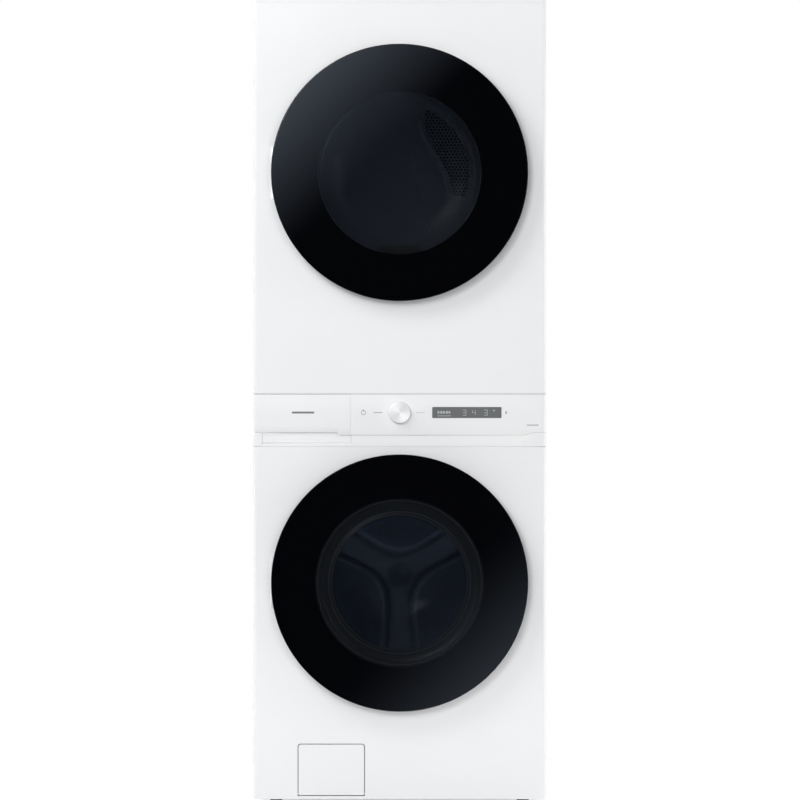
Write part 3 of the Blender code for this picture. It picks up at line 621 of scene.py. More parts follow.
def build_washer_drum():
    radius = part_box("washer_drum")[1].x
    wall = [
        (0.200, -0.0885), (0.2665, -0.0885), (radius, -0.092), (radius, -0.640), (0.262, -0.644),
        (0.0, -0.644), (0.0, -0.641), (0.262, -0.641), (radius - 0.002, -0.637),
        (radius - 0.002, -0.094), (0.204, -0.094), (0.2005, -0.0925),
    ]
    turned(
        "washer_drum_shell", wall, WASHER_Z, "holed_steel", "wash_drum",
        ("washer_drum",), closed=True, sides=144,
    )
    for number, degrees in enumerate(ARM_ANGLES, 1):
        name = "washer_lifter_%d" % number
        build_lifter(name, degrees, WASHER_Z, radius - 0.003, 0.062, 0.120, 0.580,
                     "grey_plastic", "wash_drum")


def build_lifter(name, degrees, centre_z, radius, height, near, far, look, body):
    """A lifter along the drum: a swelling ridge whose section is a rounded hump."""
    shape = bmesh.new()
    stations, around = 16, 14
    rows = []
    for station in range(stations + 1):
        share = station / stations
        depth = near + (far - near) * share
        swell = math.sin(math.pi * min(1.0, max(0.0, 0.06 + 0.88 * share))) ** 0.35
        row = []
        for step in range(around + 1):
            place = step / around * 2 - 1
            across = 0.030 * place * (0.75 + 0.25 * swell)
            rise = height * swell * (1 - abs(place) ** 2.6) ** 0.8
            rise -= radius - math.sqrt(radius * radius - across * across)
            inward = radius - max(0.0, rise + (radius - math.sqrt(radius * radius - across * across)))
            inward = min(inward, math.sqrt(radius * radius - across * across))
            local = Vector((inward, 0, across))
            turned_place = Matrix.Rotation(-math.radians(degrees), 3, "Y") @ local
            row.append(shape.verts.new((turned_place.x, FRONT_Y + depth, centre_z + turned_place.z)))
        rows.append(row)
    stitch(shape, rows)
    shape.faces.new(rows[0])
    shape.faces.new(rows[-1])
    add_piece(name, shape, look, body)


# ---- dryer inside


def inside_outline(point, outline):
    """Even-odd test of a point against a closed outline."""
    crossed = False
    for (ax, ay), (bx, by) in zip(outline, outline[1:] + outline[:1]):
        if (ay > point[1]) != (by > point[1]):
            if point[0] < (bx - ax) * (point[1] - ay) / (by - ay) + ax:
                crossed = not crossed
    return crossed


def offset_outline(outline, inset):
    """Moves a closed outline inwards by a distance, corner by corner."""
    moved = []
    count = len(outline)
    for index in range(count):
        before = Vector(outline[index - 1])
        here = Vector(outline[index])
        after = Vector(outline[(index + 1) % count])
        first = (here - before).normalized()
        second = (after - here).normalized()
        normal = Vector((-first.y - second.y, first.x + second.x)).normalized()
        half = math.sqrt(max(0.2, (1 + first.dot(second)) / 2))
        moved.append(tuple(here + normal * inset / half))
    return moved


def grille_outline():
    """The hot air grille's outline about the dryer's axis, anticlockwise."""
    rise, reach = 0.0305, 0.188
    points = mm((49.7, 131), (52, 122), (104.7, 24.2), (119, -34), (121.7, -39.5), (127, -42))
    points += [polar(reach, math.radians(angle), 0.0, rise) for angle in range(-22, 71, 4)]
    return points + [(0.0500, 0.196), (0.0455, 0.1817), (0.0460, 0.150)]


def outline_loop(shape, inset, y):
    """Vertices along the grille's outline, moved inwards by the inset."""
    return [shape.verts.new((x, y, DRYER_Z + z)) for x, z in offset_outline(grille_outline(), inset)]


def build_grille():
    """A mesh of round holes in hexagon cells, a black sheet behind them as painted shade, and a stepped
    border.
    """
    inner = offset_outline(grille_outline(), 0.0135)
    back_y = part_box("inlet_grille")[1].y
    face_y = back_y - 0.0020
    pitch, hole = 0.0088, 0.0030
    side_length = pitch / math.sqrt(3)
    shape = bmesh.new()
    for row in range(36):
        for column in range(22):
            x = 0.035 + pitch * (column + 0.5 * (row % 2))
            z = -0.045 + pitch * 0.866 * row
            if not inside_outline((x, z), inner):
                continue
            rings = [[], [], []]
            for side in range(12):
                angle = math.radians(30 * side + 30)
                corner = side_length if side % 2 == 0 else pitch / 2
                for ring, (reach, y) in enumerate(((corner, face_y), (hole, face_y), (hole, back_y))):
                    across, up = polar(reach, angle, x, DRYER_Z + z)
                    rings[ring].append(shape.verts.new((across, y, up)))
            stitch(shape, rings, closed=True)
    bmesh.ops.remove_doubles(shape, verts=shape.verts, dist=0.0002)
    add_piece("grille_mesh", shape, "grille", "cabinet", ("inlet_grille",))

    # A black sheet just behind the holes: painted shade seen through them.
    dark = bmesh.new()
    dark.faces.new(outline_loop(dark, 0.004, back_y + 0.0004))
    add_piece("grille_painted_shade", dark, "edge_black", "cabinet", ("inlet_grille",))

    border = bmesh.new()
    crest, groove = back_y - 0.0056, back_y - 0.0016
    levels = [
        (0.0, back_y), (0.0, back_y - 0.0040), (0.0010, crest), (0.0032, crest), (0.0042, groove),
        (0.0070, groove), (0.0080, crest), (0.0100, crest), (0.0112, face_y), (0.0165, face_y),
    ]
    stitch(border, [outline_loop(border, inset, y) for inset, y in levels], closed=True)
    add_piece("grille_frame", border, "grille_edge", "cabinet", ("inlet_grille",))


def build_dryer_drum():
    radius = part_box("dryer_drum")[1].x
    wall = [
        (radius, -0.0845), (radius, -0.689), (radius - 0.002, -0.689), (radius - 0.002, -0.400),
        (radius - 0.005, -0.396), (radius - 0.005, -0.380), (radius - 0.002, -0.376),
        (radius - 0.002, -0.0845),
    ]
    turned("dryer_drum_shell", wall, DRYER_Z, "steel", "dry_drum", ("dryer_drum",), sides=144)
    for number, degrees in enumerate(ARM_ANGLES, 1):
        name = "dryer_vane_%d" % number
        build_lifter(name, degrees, DRYER_Z, radius - 0.003, 0.040, 0.130, 0.640, "steel", "dry_drum")
    reach = radius - 0.006
    disc = [(0, -PLATE_DEPTH), (reach, -PLATE_DEPTH), (reach, -0.6938), (0, -0.6938)]
    plate = turned("dryer_back_plate", disc, DRYER_Z, "drum_back", "cabinet", closed=False, sides=144)
    hole = bmesh.new()
    ends = [outline_loop(hole, 0.004, FRONT_Y + depth) for depth in (0.680, 0.700)]
    stitch(hole, ends, closed=True)
    for end in ends:
        hole.faces.new(end)
    carve(plate, hole)
    build_back_rib()


def build_back_rib():
    """The slanting bead pressed into the dryer's back wall, narrowed at both ends."""
    rib = bmesh.new()
    start, end = Vector((0.0243, 0.0, 0.0750)), Vector((0.0772, 0.0, -0.1180))
    along = (end - start).normalized()
    across = Vector((along.z, 0.0, -along.x))
    section = mm((-4, 0), (-1.8, 3.4), (0, 4.2), (1.8, 3.4), (4, 0))
    rows = []
    for share in (0.0, 0.01, 0.5, 0.99, 1.0):
        narrow = 0.2 if share in (0.0, 1.0) else 1.0
        row = []
        for offset, rise in section:
            place = start.lerp(end, share) + across * offset * narrow
            row.append(rib.verts.new((place.x, FRONT_Y + PLATE_DEPTH - rise * narrow, DRYER_Z + place.z)))
        rows.append(row)
    stitch(rib, rows)
    add_piece("dryer_back_rib", rib, "grille_edge", "cabinet")


def build_dryer_lamp():
    top = DRYER_Z + 0.186
    block("drum_lamp", (-0.016, 0.004), (0.030, 0.046), (top - 0.004, top + 0.004), "lamp", "cabinet",
          0.0015)
    block("door_sensor", (0.066, 0.076), (0.022, 0.034), (DRYER_Z + 0.168, DRYER_Z + 0.175), "grey_plastic",
          "cabinet", 0.001)


# ---- controls


def strip_mark(name, x, low, high, look, depth=0.0, body="cabinet"):
    """A flat printed mark, placed from the strip's middle height: a very thin raised film."""
    place = (CONTROL_Z + low, CONTROL_Z + high)
    block(name, x, (depth - 0.00012, depth + 0.0001), place, look, body)


def build_digit(name, strokes, x, depth):
    """Strokes of a seven segment figure, by their usual letters."""
    thick, half_w, half_h = 0.0012, 0.0040, 0.00675
    places = {
        "a": ((-half_w, half_w), (half_h - thick, half_h)),
        "g": ((-half_w, half_w), (-thick / 2, thick / 2)),
        "d": ((-half_w, half_w), (-half_h, -half_h + thick)),
        "b": ((half_w - thick, half_w), (thick, half_h - thick)),
        "c": ((half_w - thick, half_w), (-half_h + thick, -thick)),
        "f": ((-half_w, -half_w + thick), (thick, half_h - thick)),
    }
    for stroke in strokes:
        across, up = places[stroke]
        block(name + "_" + stroke, [x + edge for edge in across], (depth - 0.00015, depth),
              [CONTROL_Z + edge for edge in up], "lit", "cabinet")


def build_display():
    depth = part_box("display_lens")[0].y - FRONT_Y
    three, four = "abcdg", "bcfg"
    for number, (x, strokes) in enumerate(((0.152, three), (0.174, four), (0.202, three)), 1):
        build_digit("display_digit_%d" % number, strokes, x, depth)
    for number, width in enumerate((0.0042, 0.0050, 0.0042, 0.0050, 0.0042), 1):
        left = 0.0890 + 0.0064 * (number - 1)
        strip_mark("display_word_%d" % number, (left, left + width), -0.0025, 0.0035, "lit", depth)
    strip_mark("display_underline", (0.0890, 0.1200), -0.0085, -0.0070, "lit", depth)
    strip_mark("display_status", (0.2185, 0.2235), 0.0035, 0.0060, "lit", depth)
    dot = [(0.0, 0.00012), (0.0012, 0.00012), (0.0012, -0.0001), (0.0, -0.0001)]
    for number, x in enumerate((0.146, 0.174, 0.202), 1):
        name = "touch_dot_%d" % number
        turned(name, dot, CONTROL_Z - 0.030, "touch", "cabinet", closed=False, centre_x=x, sides=20)


def build_fascia_marks():
    ring = mm((5.6, 0.12), (5.6, -0.1), (4.7, -0.1), (4.7, 0.12))
    turned("power_ring", ring, CONTROL_Z, "print", "cabinet", centre_x=-0.0845, sides=40)
    for name, x, low, high, look in (
        ("power_tick", (-0.0849, -0.0841), 0.002, 0.0072, "print"),
        ("dash_left", (-0.061, -0.040), -0.0006, 0.0006, "print"),
        ("dash_right", (0.039, 0.0595), -0.0006, 0.0006, "pale_print"),
        ("start_bar_left", (0.2475, 0.2487), -0.0032, 0.0032, "print"),
        ("start_bar_right", (0.2503, 0.2515), -0.0032, 0.0032, "print"),
    ):
        strip_mark(name, x, low, high, look)
    strip_mark("type_strip", (0.298, 0.325), 0.9008 - CONTROL_Z, 0.9024 - CONTROL_Z, "print")
    strip_mark("plain_badge", (-0.252, -0.200), -0.0022, 0.0022, "print", body="detergent_drawer")


def build_knob():
    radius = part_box("cycle_knob")[1].x
    profile = [
        (0.0, 0.0168), (0.0180, 0.0172), (0.0225, 0.0175), (0.0240, 0.0172), (0.0248, 0.0164),
        (0.0251, 0.0150),
        (radius - 0.0002, 0.0030), (radius, 0.0012), (radius - 0.0003, 0.0006), (0.006, 0.0006),
        (0.006, -0.0135), (0.0, -0.0135),
    ]
    turned("knob_cap", profile, CONTROL_Z, "knob", "knob", ("cycle_knob",), closed=False, sides=128)


# ---- control strip, drawer and washer panel


PULL_LEFT = -0.3222
PULL_RIGHT = 0.3095
FASCIA_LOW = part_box("control_fascia")[0].z
FASCIA_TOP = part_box("control_fascia")[1].z
DRAWER_LEFT = -HALF
DRAWER_RIGHT = -0.1151
CORNER = 0.008
LIP_HIGH = 0.8840
LIP_STEP = 0.0062
FACE_TOP = [
    (0.0, 0.9000), (0.0, 0.9300), (0.0, FASCIA_TOP - 0.0012), (0.0002, FASCIA_TOP - 0.0006),
    (0.0010, FASCIA_TOP),
]
FLAP_LEFT = -0.2370
FLAP_RIGHT = -0.0826


def smooth(value):
    value = max(0.0, min(1.0, value))
    return value * value * (3 - 2 * value)


def corner_columns(side, skirt=0.0257):
    """(x, depth) places round a tower's front corner and back along its side."""
    columns = [(side * HALF, skirt)]
    for step in range(9):
        angle = math.pi / 2 * (8 - step) / 8
        columns.append((side * (HALF - CORNER + CORNER * math.sin(angle)), CORNER * (1 - math.cos(angle))))
    return columns if side < 0 else columns[::-1]


def spread(low, high, step):
    count = max(1, round((high - low) / step))
    return [low + (high - low) * index / count for index in range(count + 1)]


def sheet(name, columns, rows_at, look, body, replaces=(), thickness=SHEET):
    """A sheet from columns of (x, extra depth); rows_at gives each column's (depth, z) places."""
    shape = bmesh.new()
    grid = []
    for x, extra in columns:
        grid.append([shape.verts.new((x, FRONT_Y + depth + extra, z)) for depth, z in rows_at(x)])
    stitch(shape, grid)
    item = add_piece(name, shape, look, body, replaces, outward=False)
    thicken(item, thickness)
    return item


def lip_height(x):
    """The bottom edge of the control strip's face: it steps up over the drawer and at the right end."""
    if x < -0.1460:
        return LIP_HIGH
    if x < -0.1420:
        return LIP_HIGH - LIP_STEP * smooth((x + 0.1460) / 0.004)
    if x < 0.2910:
        return LIP_HIGH - LIP_STEP
    return min(LIP_HIGH, LIP_HIGH - LIP_STEP + LIP_STEP * (x - 0.2910) / 0.0235)


def recess_depth(x, z):
    """The pull recess is deepest under the lip and runs out to nothing at its right end."""
    deep = 0.0005 + 0.0013 * smooth((z - FASCIA_LOW) / 0.026)
    end = 0.2925 + (PULL_RIGHT - 0.2925) * abs(z - 0.8655) / 0.0145
    shallow = deep * smooth((min(end, 0.3145) - x) / 0.016) * smooth((x - PULL_LEFT) / 0.0012)
    pocket = smooth((x - PULL_LEFT) / 0.0012) * smooth((-0.1124 - x) / 0.0012)
    return shallow + 0.0020 * pocket * smooth((z - 0.8578) / 0.0012)


def recess_rows(x):
    top = LIP_HIGH if x < DRAWER_RIGHT else lip_height(x)
    closed = smooth((x + 0.3240) / 0.002) * smooth((0.3150 - x) / 0.002)
    places = [FASCIA_LOW - 0.0005 * closed, 0.8525, 0.8550, 0.8576, 0.8580, 0.8584, 0.8589, 0.8600]
    places += [0.8600 + (top - 0.8600) * share for share in (0.2, 0.4, 0.6, 0.8, 0.9, 1.0)]
    return [(recess_depth(x, z), z) for z in places]


def face_rows(x):
    low = lip_height(x)
    under = recess_depth(x, low)
    edge = [(under + 0.0004, low), (0.0014, low), (0.0005, low + 0.0003), (0.0001, low + 0.0009)]
    return edge + [(0.0, low + 0.0020)] + FACE_TOP


def build_fascia():
    feature = spread(-0.3230, -0.3200, 0.0003) + spread(-0.3150, -0.1150, 0.006)
    feature += spread(-0.1138, -0.1118, 0.0002) + spread(-0.1060, 0.2790, 0.006)
    feature += spread(0.2800, 0.3200, 0.0010)
    lower = corner_columns(-1) + [(x, 0.0) for x in feature] + corner_columns(1)
    sheet("fascia_pull", lower, recess_rows, "moulding", "cabinet", ("control_fascia",))
    across = spread(DRAWER_RIGHT + 0.0003, 0.2790, 0.006) + spread(0.2800, 0.3200, 0.0010)
    upper = [(x, 0.0) for x in across]
    item = sheet(
        "fascia_face", upper + corner_columns(1), face_rows, "moulding", "cabinet",
        ("control_fascia",),
    )
    low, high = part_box("display_lens")
    window = box_shape((low.x - 0.0004, high.x + 0.0004), (-0.01, 0.01), (low.z - 0.0004, high.z + 0.0004))
    uprights = [edge for edge in window.edges if abs(edge.verts[0].co.y - edge.verts[1].co.y) > 0.01]
    bevel(window, uprights, 0.0016, 5)
    carve(item, window, plug(0.007, CONTROL_Z, 40))
    back = box_shape(
        (-HALF + 0.002, HALF - 0.002), (0.0240, 0.0300), (FASCIA_LOW + 0.001, FASCIA_TOP - 0.001)
    )
    frame_plate = add_piece(
        "fascia_back", back, "moulding", "cabinet", ("control_fascia",)
    )
    tray_low, tray_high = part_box("drawer_tray")
    tray_room = box_shape(
        (tray_low.x - 0.003, tray_high.x + 0.003), (0.01, 0.05),
        (tray_low.z - 0.003, tray_high.z + 0.003), 0.003,
    )
    carve(frame_plate, tray_room)
    block("drawer_seam_stop", (DRAWER_RIGHT + 0.0001, DRAWER_RIGHT + 0.0016), (0.0004, 0.0035),
          (0.8860, FASCIA_TOP - 0.0020), "moulding", "cabinet", 0.0002)
    block("display_back", (low.x - 0.003, high.x + 0.003), (0.0028, 0.0050), (low.z - 0.003, high.z + 0.003),
          "black_plastic", "cabinet", 0.0005)


def build_drawer_front():
    """The drawer's face, whose bottom edge steps down at the right, and its set-back pull lip."""
    right = DRAWER_RIGHT

    def rows(x):
        low = lip_height(x)
        edge = [(0.0026, low), (0.0010, low + 0.0001), (0.0004, low + 0.0004), (0.0, low + 0.0012)]
        return edge + FACE_TOP

    columns = [(x, 0.0) for x in spread(-0.3340, -0.1480, 0.006) + spread(-0.1470, -0.1410, 0.0005)]
    columns += [(x, 0.0) for x in spread(-0.1390, right - 0.0008, 0.003)]
    columns += [(right - 0.0002, 0.0), (right, 0.0002)]
    sheet(
        "drawer_face", corner_columns(-1, 0.0230) + columns, rows, "moulding", "detergent_drawer",
        ("drawer_front",), 0.0020,
    )
    left, lip_right, low, radius = PULL_LEFT + 0.0008, right + 0.0012, 0.8597, 0.0042

    def lip_rows(x):
        top = min(lip_height(x), LIP_HIGH) + 0.0015
        inside = max(0.0, x - (lip_right - radius))
        bottom = low + radius - math.sqrt(max(0.0, radius ** 2 - inside ** 2))
        set_back = 0.0006 + 0.0016 * smooth((x - left) / 0.040)
        edge = 0.0008 * smooth(1 - (lip_right - x) / 0.0010)
        steps = (
            (0.0014, 0.0), (0.0004, 0.0004), (-0.0003, 0.0010), (-0.0004, 0.0018), (0.0004, 0.0036),
            (0.0006, 0.010), (0.0006, None),
        )
        return [
            (set_back + edge + extra, top if rise is None else min(top, bottom + rise))
            for extra, rise in steps
        ]

    columns = spread(left, lip_right - 0.0060, 0.004) + spread(lip_right - 0.0055, lip_right, 0.00045)
    sheet(
        "drawer_lip", [(x, 0.0) for x in columns], lip_rows, "moulding", "detergent_drawer",
        ("drawer_front",), 0.0012,
    )
    block(
        "drawer_core", (DRAWER_LEFT + 0.0025, right - 0.0015),
        (0.0022, 0.0230), (0.8865, FASCIA_TOP - 0.0015),
        "moulding", "detergent_drawer", 0.0010, ("drawer_front",),
    )


def build_washer_panel():
    """The folded panel with its mouth, latch slot and service opening."""
    low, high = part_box("washer_front_panel")
    shape = box_shape((low.x, high.x), (0.0, high.y - low.y), (low.z, high.z))
    corners = [
        edge for edge in shape.edges
        if all(vertex.co.y < FRONT_Y + 0.001 for vertex in edge.verts)
        and abs(edge.verts[0].co.z - edge.verts[1].co.z) > 0.01
    ]
    bevel(shape, corners, CORNER, 8)
    shape.normal_update()
    rear = [face for face in shape.faces if face.normal.y > 0.99]
    bmesh.ops.delete(shape, geom=rear, context="FACES")
    item = add_piece("washer_panel", shape, "enamel", "cabinet", ("washer_front_panel",), outward=False)
    thicken(item, even=True)
    latch_slot = box_shape((0.2445, 0.2660), (-0.01, 0.01), (WASHER_Z - 0.008, WASHER_Z + 0.008))
    carve(item, plug(0.205, WASHER_Z, 128), latch_slot, flap_opening())


def flap_opening():
    """The service flap's hole with rounded corners."""
    low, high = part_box("service_flap")
    shape = box_shape(
        (FLAP_LEFT - 0.0016, FLAP_RIGHT + 0.0016), (-0.01, 0.01), (low.z - 0.0016, high.z + 0.0016)
    )
    round_corners(shape, 0.007, 0.001)
    return shape


def round_corners(shape, top, bottom):
    """Rounds the corners of an upright plate, the upper two and the lower two by their own radius."""
    for radius, furthest in ((top, max), (bottom, min)):
        level = furthest(vertex.co.z for vertex in shape.verts)
        corners = [
            edge for edge in shape.edges
            if abs(edge.verts[0].co.y - edge.verts[1].co.y) > 0.001
            and all(abs(vertex.co.z - level) < 1e-6 for vertex in edge.verts)
        ]
        bevel(shape, corners, radius, 6)


def build_flap():
    low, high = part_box("service_flap")
    shape = box_shape((FLAP_LEFT, FLAP_RIGHT), (0.0002, 0.0024), (low.z, high.z))
    round_corners(shape, 0.0062, 0.0030)
    item = add_piece("flap_plate", shape, "enamel", "flap", ("service_flap",))
    bevel_edges(item, 0.0006, 2, 40)
    for side, x in (("left", (-0.2425, -0.2260)), ("right", (-0.0940, -0.0775))):
        block("flap_barrel_" + side, x, (0.0024, 0.0063), (0.0367, 0.0403), "moulding", "flap", 0.0006)


# ---- back fittings


PORTS_X = (0.200, 0.240)
PORTS_Z = 0.920
EXHAUST_X = -0.060
EXHAUST_Z = 1.065


def build_screws():
    head = mm((0, 2.2), (2, 2), (3.8, 1.2), (4.4, 0), (4.4, -0.4), (0, -0.4))
    profile = [(radius, FRONT_Y - BACK_Y - rise) for radius, rise in head]
    places = [(side * (HALF - 0.012), 0.06 + 0.24 * step) for step in range(8) for side in (-1, 1)]
    places += [(-0.16 + 0.16 * step, z) for z in (0.955, 1.88) for step in range(3)]
    for number, (x, z) in enumerate(places, 1):
        name = "back_screw_%02d" % number
        turned(name, profile, z, "zinc", "cabinet", closed=False, centre_x=x, sides=16)


def pressed_ridge(name, x, z, rise, look="zinc"):
    """A long rounded ridge pressed out of the back, tapering at both ends."""
    upright = z[1] - z[0] > x[1] - x[0]
    middle_x, middle_z = (x[0] + x[1]) / 2, (z[0] + z[1]) / 2
    half_width, half_length = sorted(((x[1] - x[0]) / 2, (z[1] - z[0]) / 2))
    shape = bmesh.new()
    rows = []
    for step in range(25):
        share = -math.cos(math.pi * step / 24)
        along = share * half_length
        taper = min(1.0, math.sqrt(max(0.0, 1.0 - share * share)) * half_length / half_width)
        row = []
        for turn in range(9):
            angle = math.pi * turn / 8
            across = half_width * max(taper, 0.02) * math.cos(angle)
            out = BACK_Y + rise * taper * math.sin(angle) - 0.0002
            spot = (middle_x + across, out, middle_z + along)
            if not upright:
                spot = (middle_x + along, out, middle_z + across)
            row.append(shape.verts.new(spot))
        rows.append(row)
    stitch(shape, rows)
    add_piece(name, shape, look, "cabinet")


def build_back_details():
    """Ribs and louvres in the back, the inlets' threads, and the exhaust's bead."""
    depth = BACK_Y - FRONT_Y
    for number, x in enumerate((-0.20, 0.0, 0.20), 1):
        pressed_ridge("lower_rib_%d" % number, (x - 0.010, x + 0.010), (0.12, 0.84), 0.0030)
        pressed_ridge("upper_rib_%d" % number, (x - 0.010, x + 0.010), (1.22, 1.50), 0.0030)
    for row in range(7):
        z = 1.60 + 0.030 * row
        for side, x in (("left", -0.16), ("right", 0.16)):
            label = "louvre_%s_%d" % (side, row + 1)
            pressed_ridge(label, (x - 0.060, x + 0.060), (z, z + 0.012), 0.0042)
            # Under each louvre a black strip stands in for its opening: painted shade.
            block(label + "_slot", (x - 0.054, x + 0.054), (depth - 0.0002, depth + 0.0012),
                  (z - 0.0022, z + 0.0012), "black_plastic", "cabinet", 0.0004)
    for number, x in enumerate(PORTS_X, 1):
        threads = [(0.0131, -0.7752), (0.0131, -0.7615)]
        for turn in range(6):
            start = 0.7620 + 0.0021 * turn
            threads += [(0.0136, -start), (0.0143, -start - 0.0008), (0.0136, -start - 0.0016)]
        threads.append((0.0136, -0.7752))
        turned("port_thread_%d" % number, threads, PORTS_Z, "brass", "cabinet", centre_x=x, sides=48)
    bead = mm((51.1, -764), (52.8, -765.2), (53.4, -766.8), (52.8, -768.4), (51.1, -769.6))
    turned("exhaust_bead", bead, EXHAUST_Z, "zinc", "cabinet", centre_x=EXHAUST_X, sides=96)


# ---- CAD nodes that stay


LOOKS = {
    "enamel": ("side_panel_left", "side_panel_right", "dryer_front_panel", "top_cover"),
    "moulding": ("water_valve",),
    "display": ("display_lens",),
    "black_plastic": ("washer_door_lock", "pump_filter_cap", "idler_pulley", "drive_belt"),
    "grey_plastic": ("drawer_tray", "dispenser_housing", "drain_pump", "washer_tub", "lint_filter"),
    "steel": ("drum_bearing",),
    "rubber": (
        "foot_front_left", "foot_front_right", "foot_back_left", "foot_back_right", "drum_roller_left",
        "drum_roller_right",
    ),
    "zinc": (
        "base_frame", "washer_back_panel", "dryer_back_panel", "middle_deck", "washer_hinge_bracket",
        "washer_hinge_leaf", "washer_door_hook", "dryer_hinge_bracket", "dryer_hinge_leaf",
        "dryer_door_hook",
        "drum_spider", "motor_rotor", "suspension_spring_left", "suspension_spring_right",
        "shock_absorber_left",
        "shock_absorber_right", "front_bulkhead", "rear_bulkhead", "drive_motor", "blower_wheel",
        "blower_housing",
    ),
    "cast": ("counterweight",),
    "copper": ("motor_stator",),
}


ROUNDED = {
    0.0003: ("display_lens",),
    0.0008: (
        "dryer_front_panel", "drawer_tray", "lint_filter", "foot_front_left", "foot_front_right",
        "foot_back_left", "foot_back_right",
    ),
    0.0010: ("top_cover", "pump_filter_cap"),
}


def dress_nodes():
    for look, names in LOOKS.items():
        for name in names:
            node = NODES[name]
            node.data.materials.clear()
            node.data.materials.append(MATERIALS[look])
            shade(node.data, 35)
    for width, names in ROUNDED.items():
        for name in names:
            bevel_edges(NODES[name], width, 3, 35)


# ---- studio


STUDIO = {
    "base": 0.10,
    "sides": 1.0,
    "front": 2.95,
    "behind": 0.85,
    "key": 265.0,
    "fill": 62.0,
    "corner": 30.0,
    "washer_lamp": 0.04,
    "washer_top": 0.20,
    "right_edge": 30.0,
    "left_edge": 12.0,
    "dryer_lamp": 0.115,
    "dryer_side": 0.012,
}


def build_world():
    """White to the camera. Diffuse light comes mostly from the front and from behind the tower's front.

    What gloss sees is white too, except straight ahead, where a pale blue card fades in towards the
    upper left and towards the lower right.
    """
    world = bpy.data.worlds.new("studio")
    bpy.context.scene.world = world
    world.use_nodes = True
    tree = world.node_tree
    tree.nodes.clear()

    def value(operation, *inputs):
        return compute(tree, operation, *inputs)

    def fade(given, low, high, power, top):
        share = value("MAXIMUM", value("DIVIDE", value("SUBTRACT", given, low), high - low), 0.0)
        return value("MULTIPLY", value("POWER", value("MINIMUM", share, 1.6), power), top)

    def background(colour, strength):
        return add_node(tree, "ShaderNodeBackground", (*colour, 1.0), strength).outputs["Background"]

    where = add_node(tree, "ShaderNodeTexCoord").outputs["Generated"]
    split = add_node(tree, "ShaderNodeSeparateXYZ", where)
    paths = add_node(tree, "ShaderNodeLightPath")
    forward = value("MULTIPLY", split.outputs["Y"], -1.0)
    slant = value("SUBTRACT", split.outputs["Z"], split.outputs["X"])
    away = value("MULTIPLY", slant, -1.0)
    ahead = value("MINIMUM", fade(forward, 0.93, 0.985, 1.0, 1.0), 1.0)
    card = value("ADD", fade(slant, 0.062, 0.142, 1.5, 1.2), fade(away, 0.055, 0.130, 2.0, 0.5))
    gloss = paths.outputs["Is Glossy Ray"]
    seen_card = value("MULTIPLY", value("MULTIPLY", card, ahead), gloss)
    seen_room = value("MULTIPLY", value("MULTIPLY", value("SUBTRACT", 1.0, ahead), 0.85), gloss)
    lobe = value("MULTIPLY", value("POWER", value("MAXIMUM", forward, 0.0), 20.0), STUDIO["front"])
    rear = value("MULTIPLY", value("LESS_THAN", forward, 0.0), STUDIO["behind"])
    aside = value("ABSOLUTE", split.outputs["X"])
    sideways = value("MULTIPLY", value("POWER", aside, 14.0), STUDIO["sides"])
    fill = value("ADD", value("ADD", lobe, rear), value("ADD", sideways, STUDIO["base"]))
    camera = paths.outputs["Is Camera Ray"]
    neither = value("SUBTRACT", 1.0, value("MAXIMUM", camera, gloss))
    plain = value("ADD", value("MULTIPLY", fill, neither), value("ADD", camera, seen_room))
    white, blue = background((1.0, 1.0, 1.0), plain), background((0.84, 1.0, 1.22), seen_card)
    both = add_node(tree, "ShaderNodeAddShader", white, blue)
    add_node(tree, "ShaderNodeOutputWorld", Surface=both.outputs["Shader"])


def add_light(name, place, target, energy, size, shape="SQUARE"):
    data = bpy.data.lights.new(name, "AREA")
    data.energy = energy
    data.size = size
    data.shape = shape
    item = new_object(name, data)
    item.location = place
    item.rotation_euler = (Vector(target) - Vector(place)).to_track_quat("-Z", "Y").to_euler()
    return item


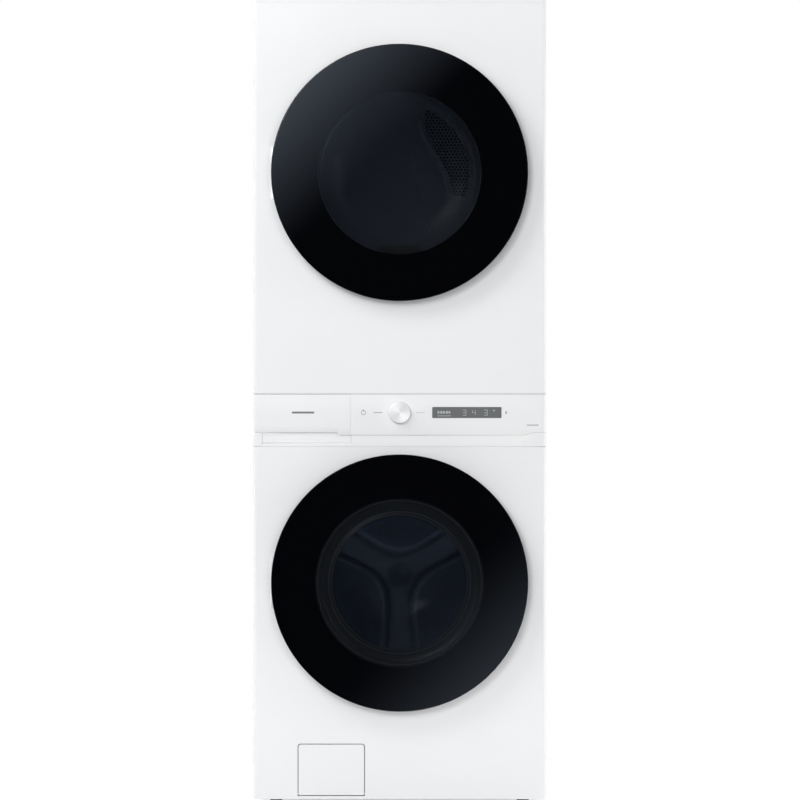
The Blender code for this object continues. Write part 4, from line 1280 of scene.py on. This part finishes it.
def build_studio():
    build_world()
    add_light("key", (-2.2, -10.0, 3.4), (0.0, FRONT_Y, 1.1), STUDIO["key"], 2.4)
    add_light("fill", (2.6, -9.6, 2.4), (0.0, FRONT_Y, 0.9), STUDIO["fill"], 2.4)
    add_light("corner_glow", (-1.7, -2.3, 2.9), (0.0, FRONT_Y, 1.5), STUDIO["corner"], 1.4)
    cool = (0.78, 1.0, 1.32)
    # name, (x, behind the front, z), target (x, before the back, z), power, size
    for name, (x, behind, z), (to_x, before, to_z), power, size in (
        ("dryer_drum_light", (0.0, 0.055, DRYER_Z), (0.0, 0.0, DRYER_Z), "dryer_lamp", 0.26),
        ("dryer_side_light", (-0.20, 0.30, DRYER_Z + 0.19), (0.06, 0.07, DRYER_Z - 0.02), "dryer_side", 0.05),
        ("washer_drum_light", (0.0, 0.150, WASHER_Z), (0.0, 0.0, WASHER_Z), "washer_lamp", 0.16),
        ("washer_top_light", (0.0, 0.200, WASHER_Z + 0.215), (0.0, 0.10, WASHER_Z - 0.02),
         "washer_top", 0.06),
    ):
        place, target = (x, FRONT_Y + behind, z), (to_x, BACK_Y - before, to_z)
        add_light(name, place, target, STUDIO[power], size, "DISK").data.color = cool
    add_light("right_edge", (3.0, -0.55, 1.1), (HALF, FRONT_Y, 1.0), STUDIO["right_edge"], 1.6)
    add_light("left_edge", (-3.0, -0.45, 1.1), (-HALF, FRONT_Y, 1.0), STUDIO["left_edge"], 1.6)
    disc = bmesh.new()
    bmesh.ops.create_circle(disc, cap_ends=True, radius=1.3, segments=96)
    floor = new_object("floor", mesh_from(disc, "floor", outward=False))
    pale = material("pale_floor", (0.96, 0.96, 0.96), 0.8)
    shader_of(pale).inputs["Emission Color"].default_value = (1.0, 1.0, 1.0, 1.0)
    seen = add_node(pale.node_tree, "ShaderNodeLightPath").outputs["Is Camera Ray"]
    drive(pale, Emission_Strength=compute(pale.node_tree, "MULTIPLY", seen, 0.45))
    floor.data.materials.append(pale)


def build_camera():
    """Straight at the front, from far away, with the tower cropped just above its feet."""
    distance, view_height, sensor = 12.0, 1.873, 36.0
    data = bpy.data.cameras.new("camera")
    data.sensor_width = sensor
    data.lens = sensor * distance / view_height
    camera = new_object("camera", data)
    camera.location = (0.001, FRONT_Y - distance, 0.9604)
    camera.rotation_euler = (math.radians(90), 0.0, 0.0)
    bpy.context.scene.camera = camera
    bpy.context.scene.view_settings.view_transform = "Standard"


dress_nodes()
for door, sizes in DOORS.items():
    build_lens(door, sizes["window"], sizes["z"])
    build_door_ring(door, **sizes)
build_washer_bowl()
build_ring_lines()
build_dryer_window()
build_painted_glass_glint()
build_gasket()
build_washer_drum()
build_drum_back()
build_dryer_drum()
build_grille()
build_dryer_lamp()
build_display()
build_fascia_marks()
build_knob()
build_washer_panel()
build_fascia()
build_drawer_front()
build_flap()
build_screws()
build_back_details()
build_studio()
build_camera()
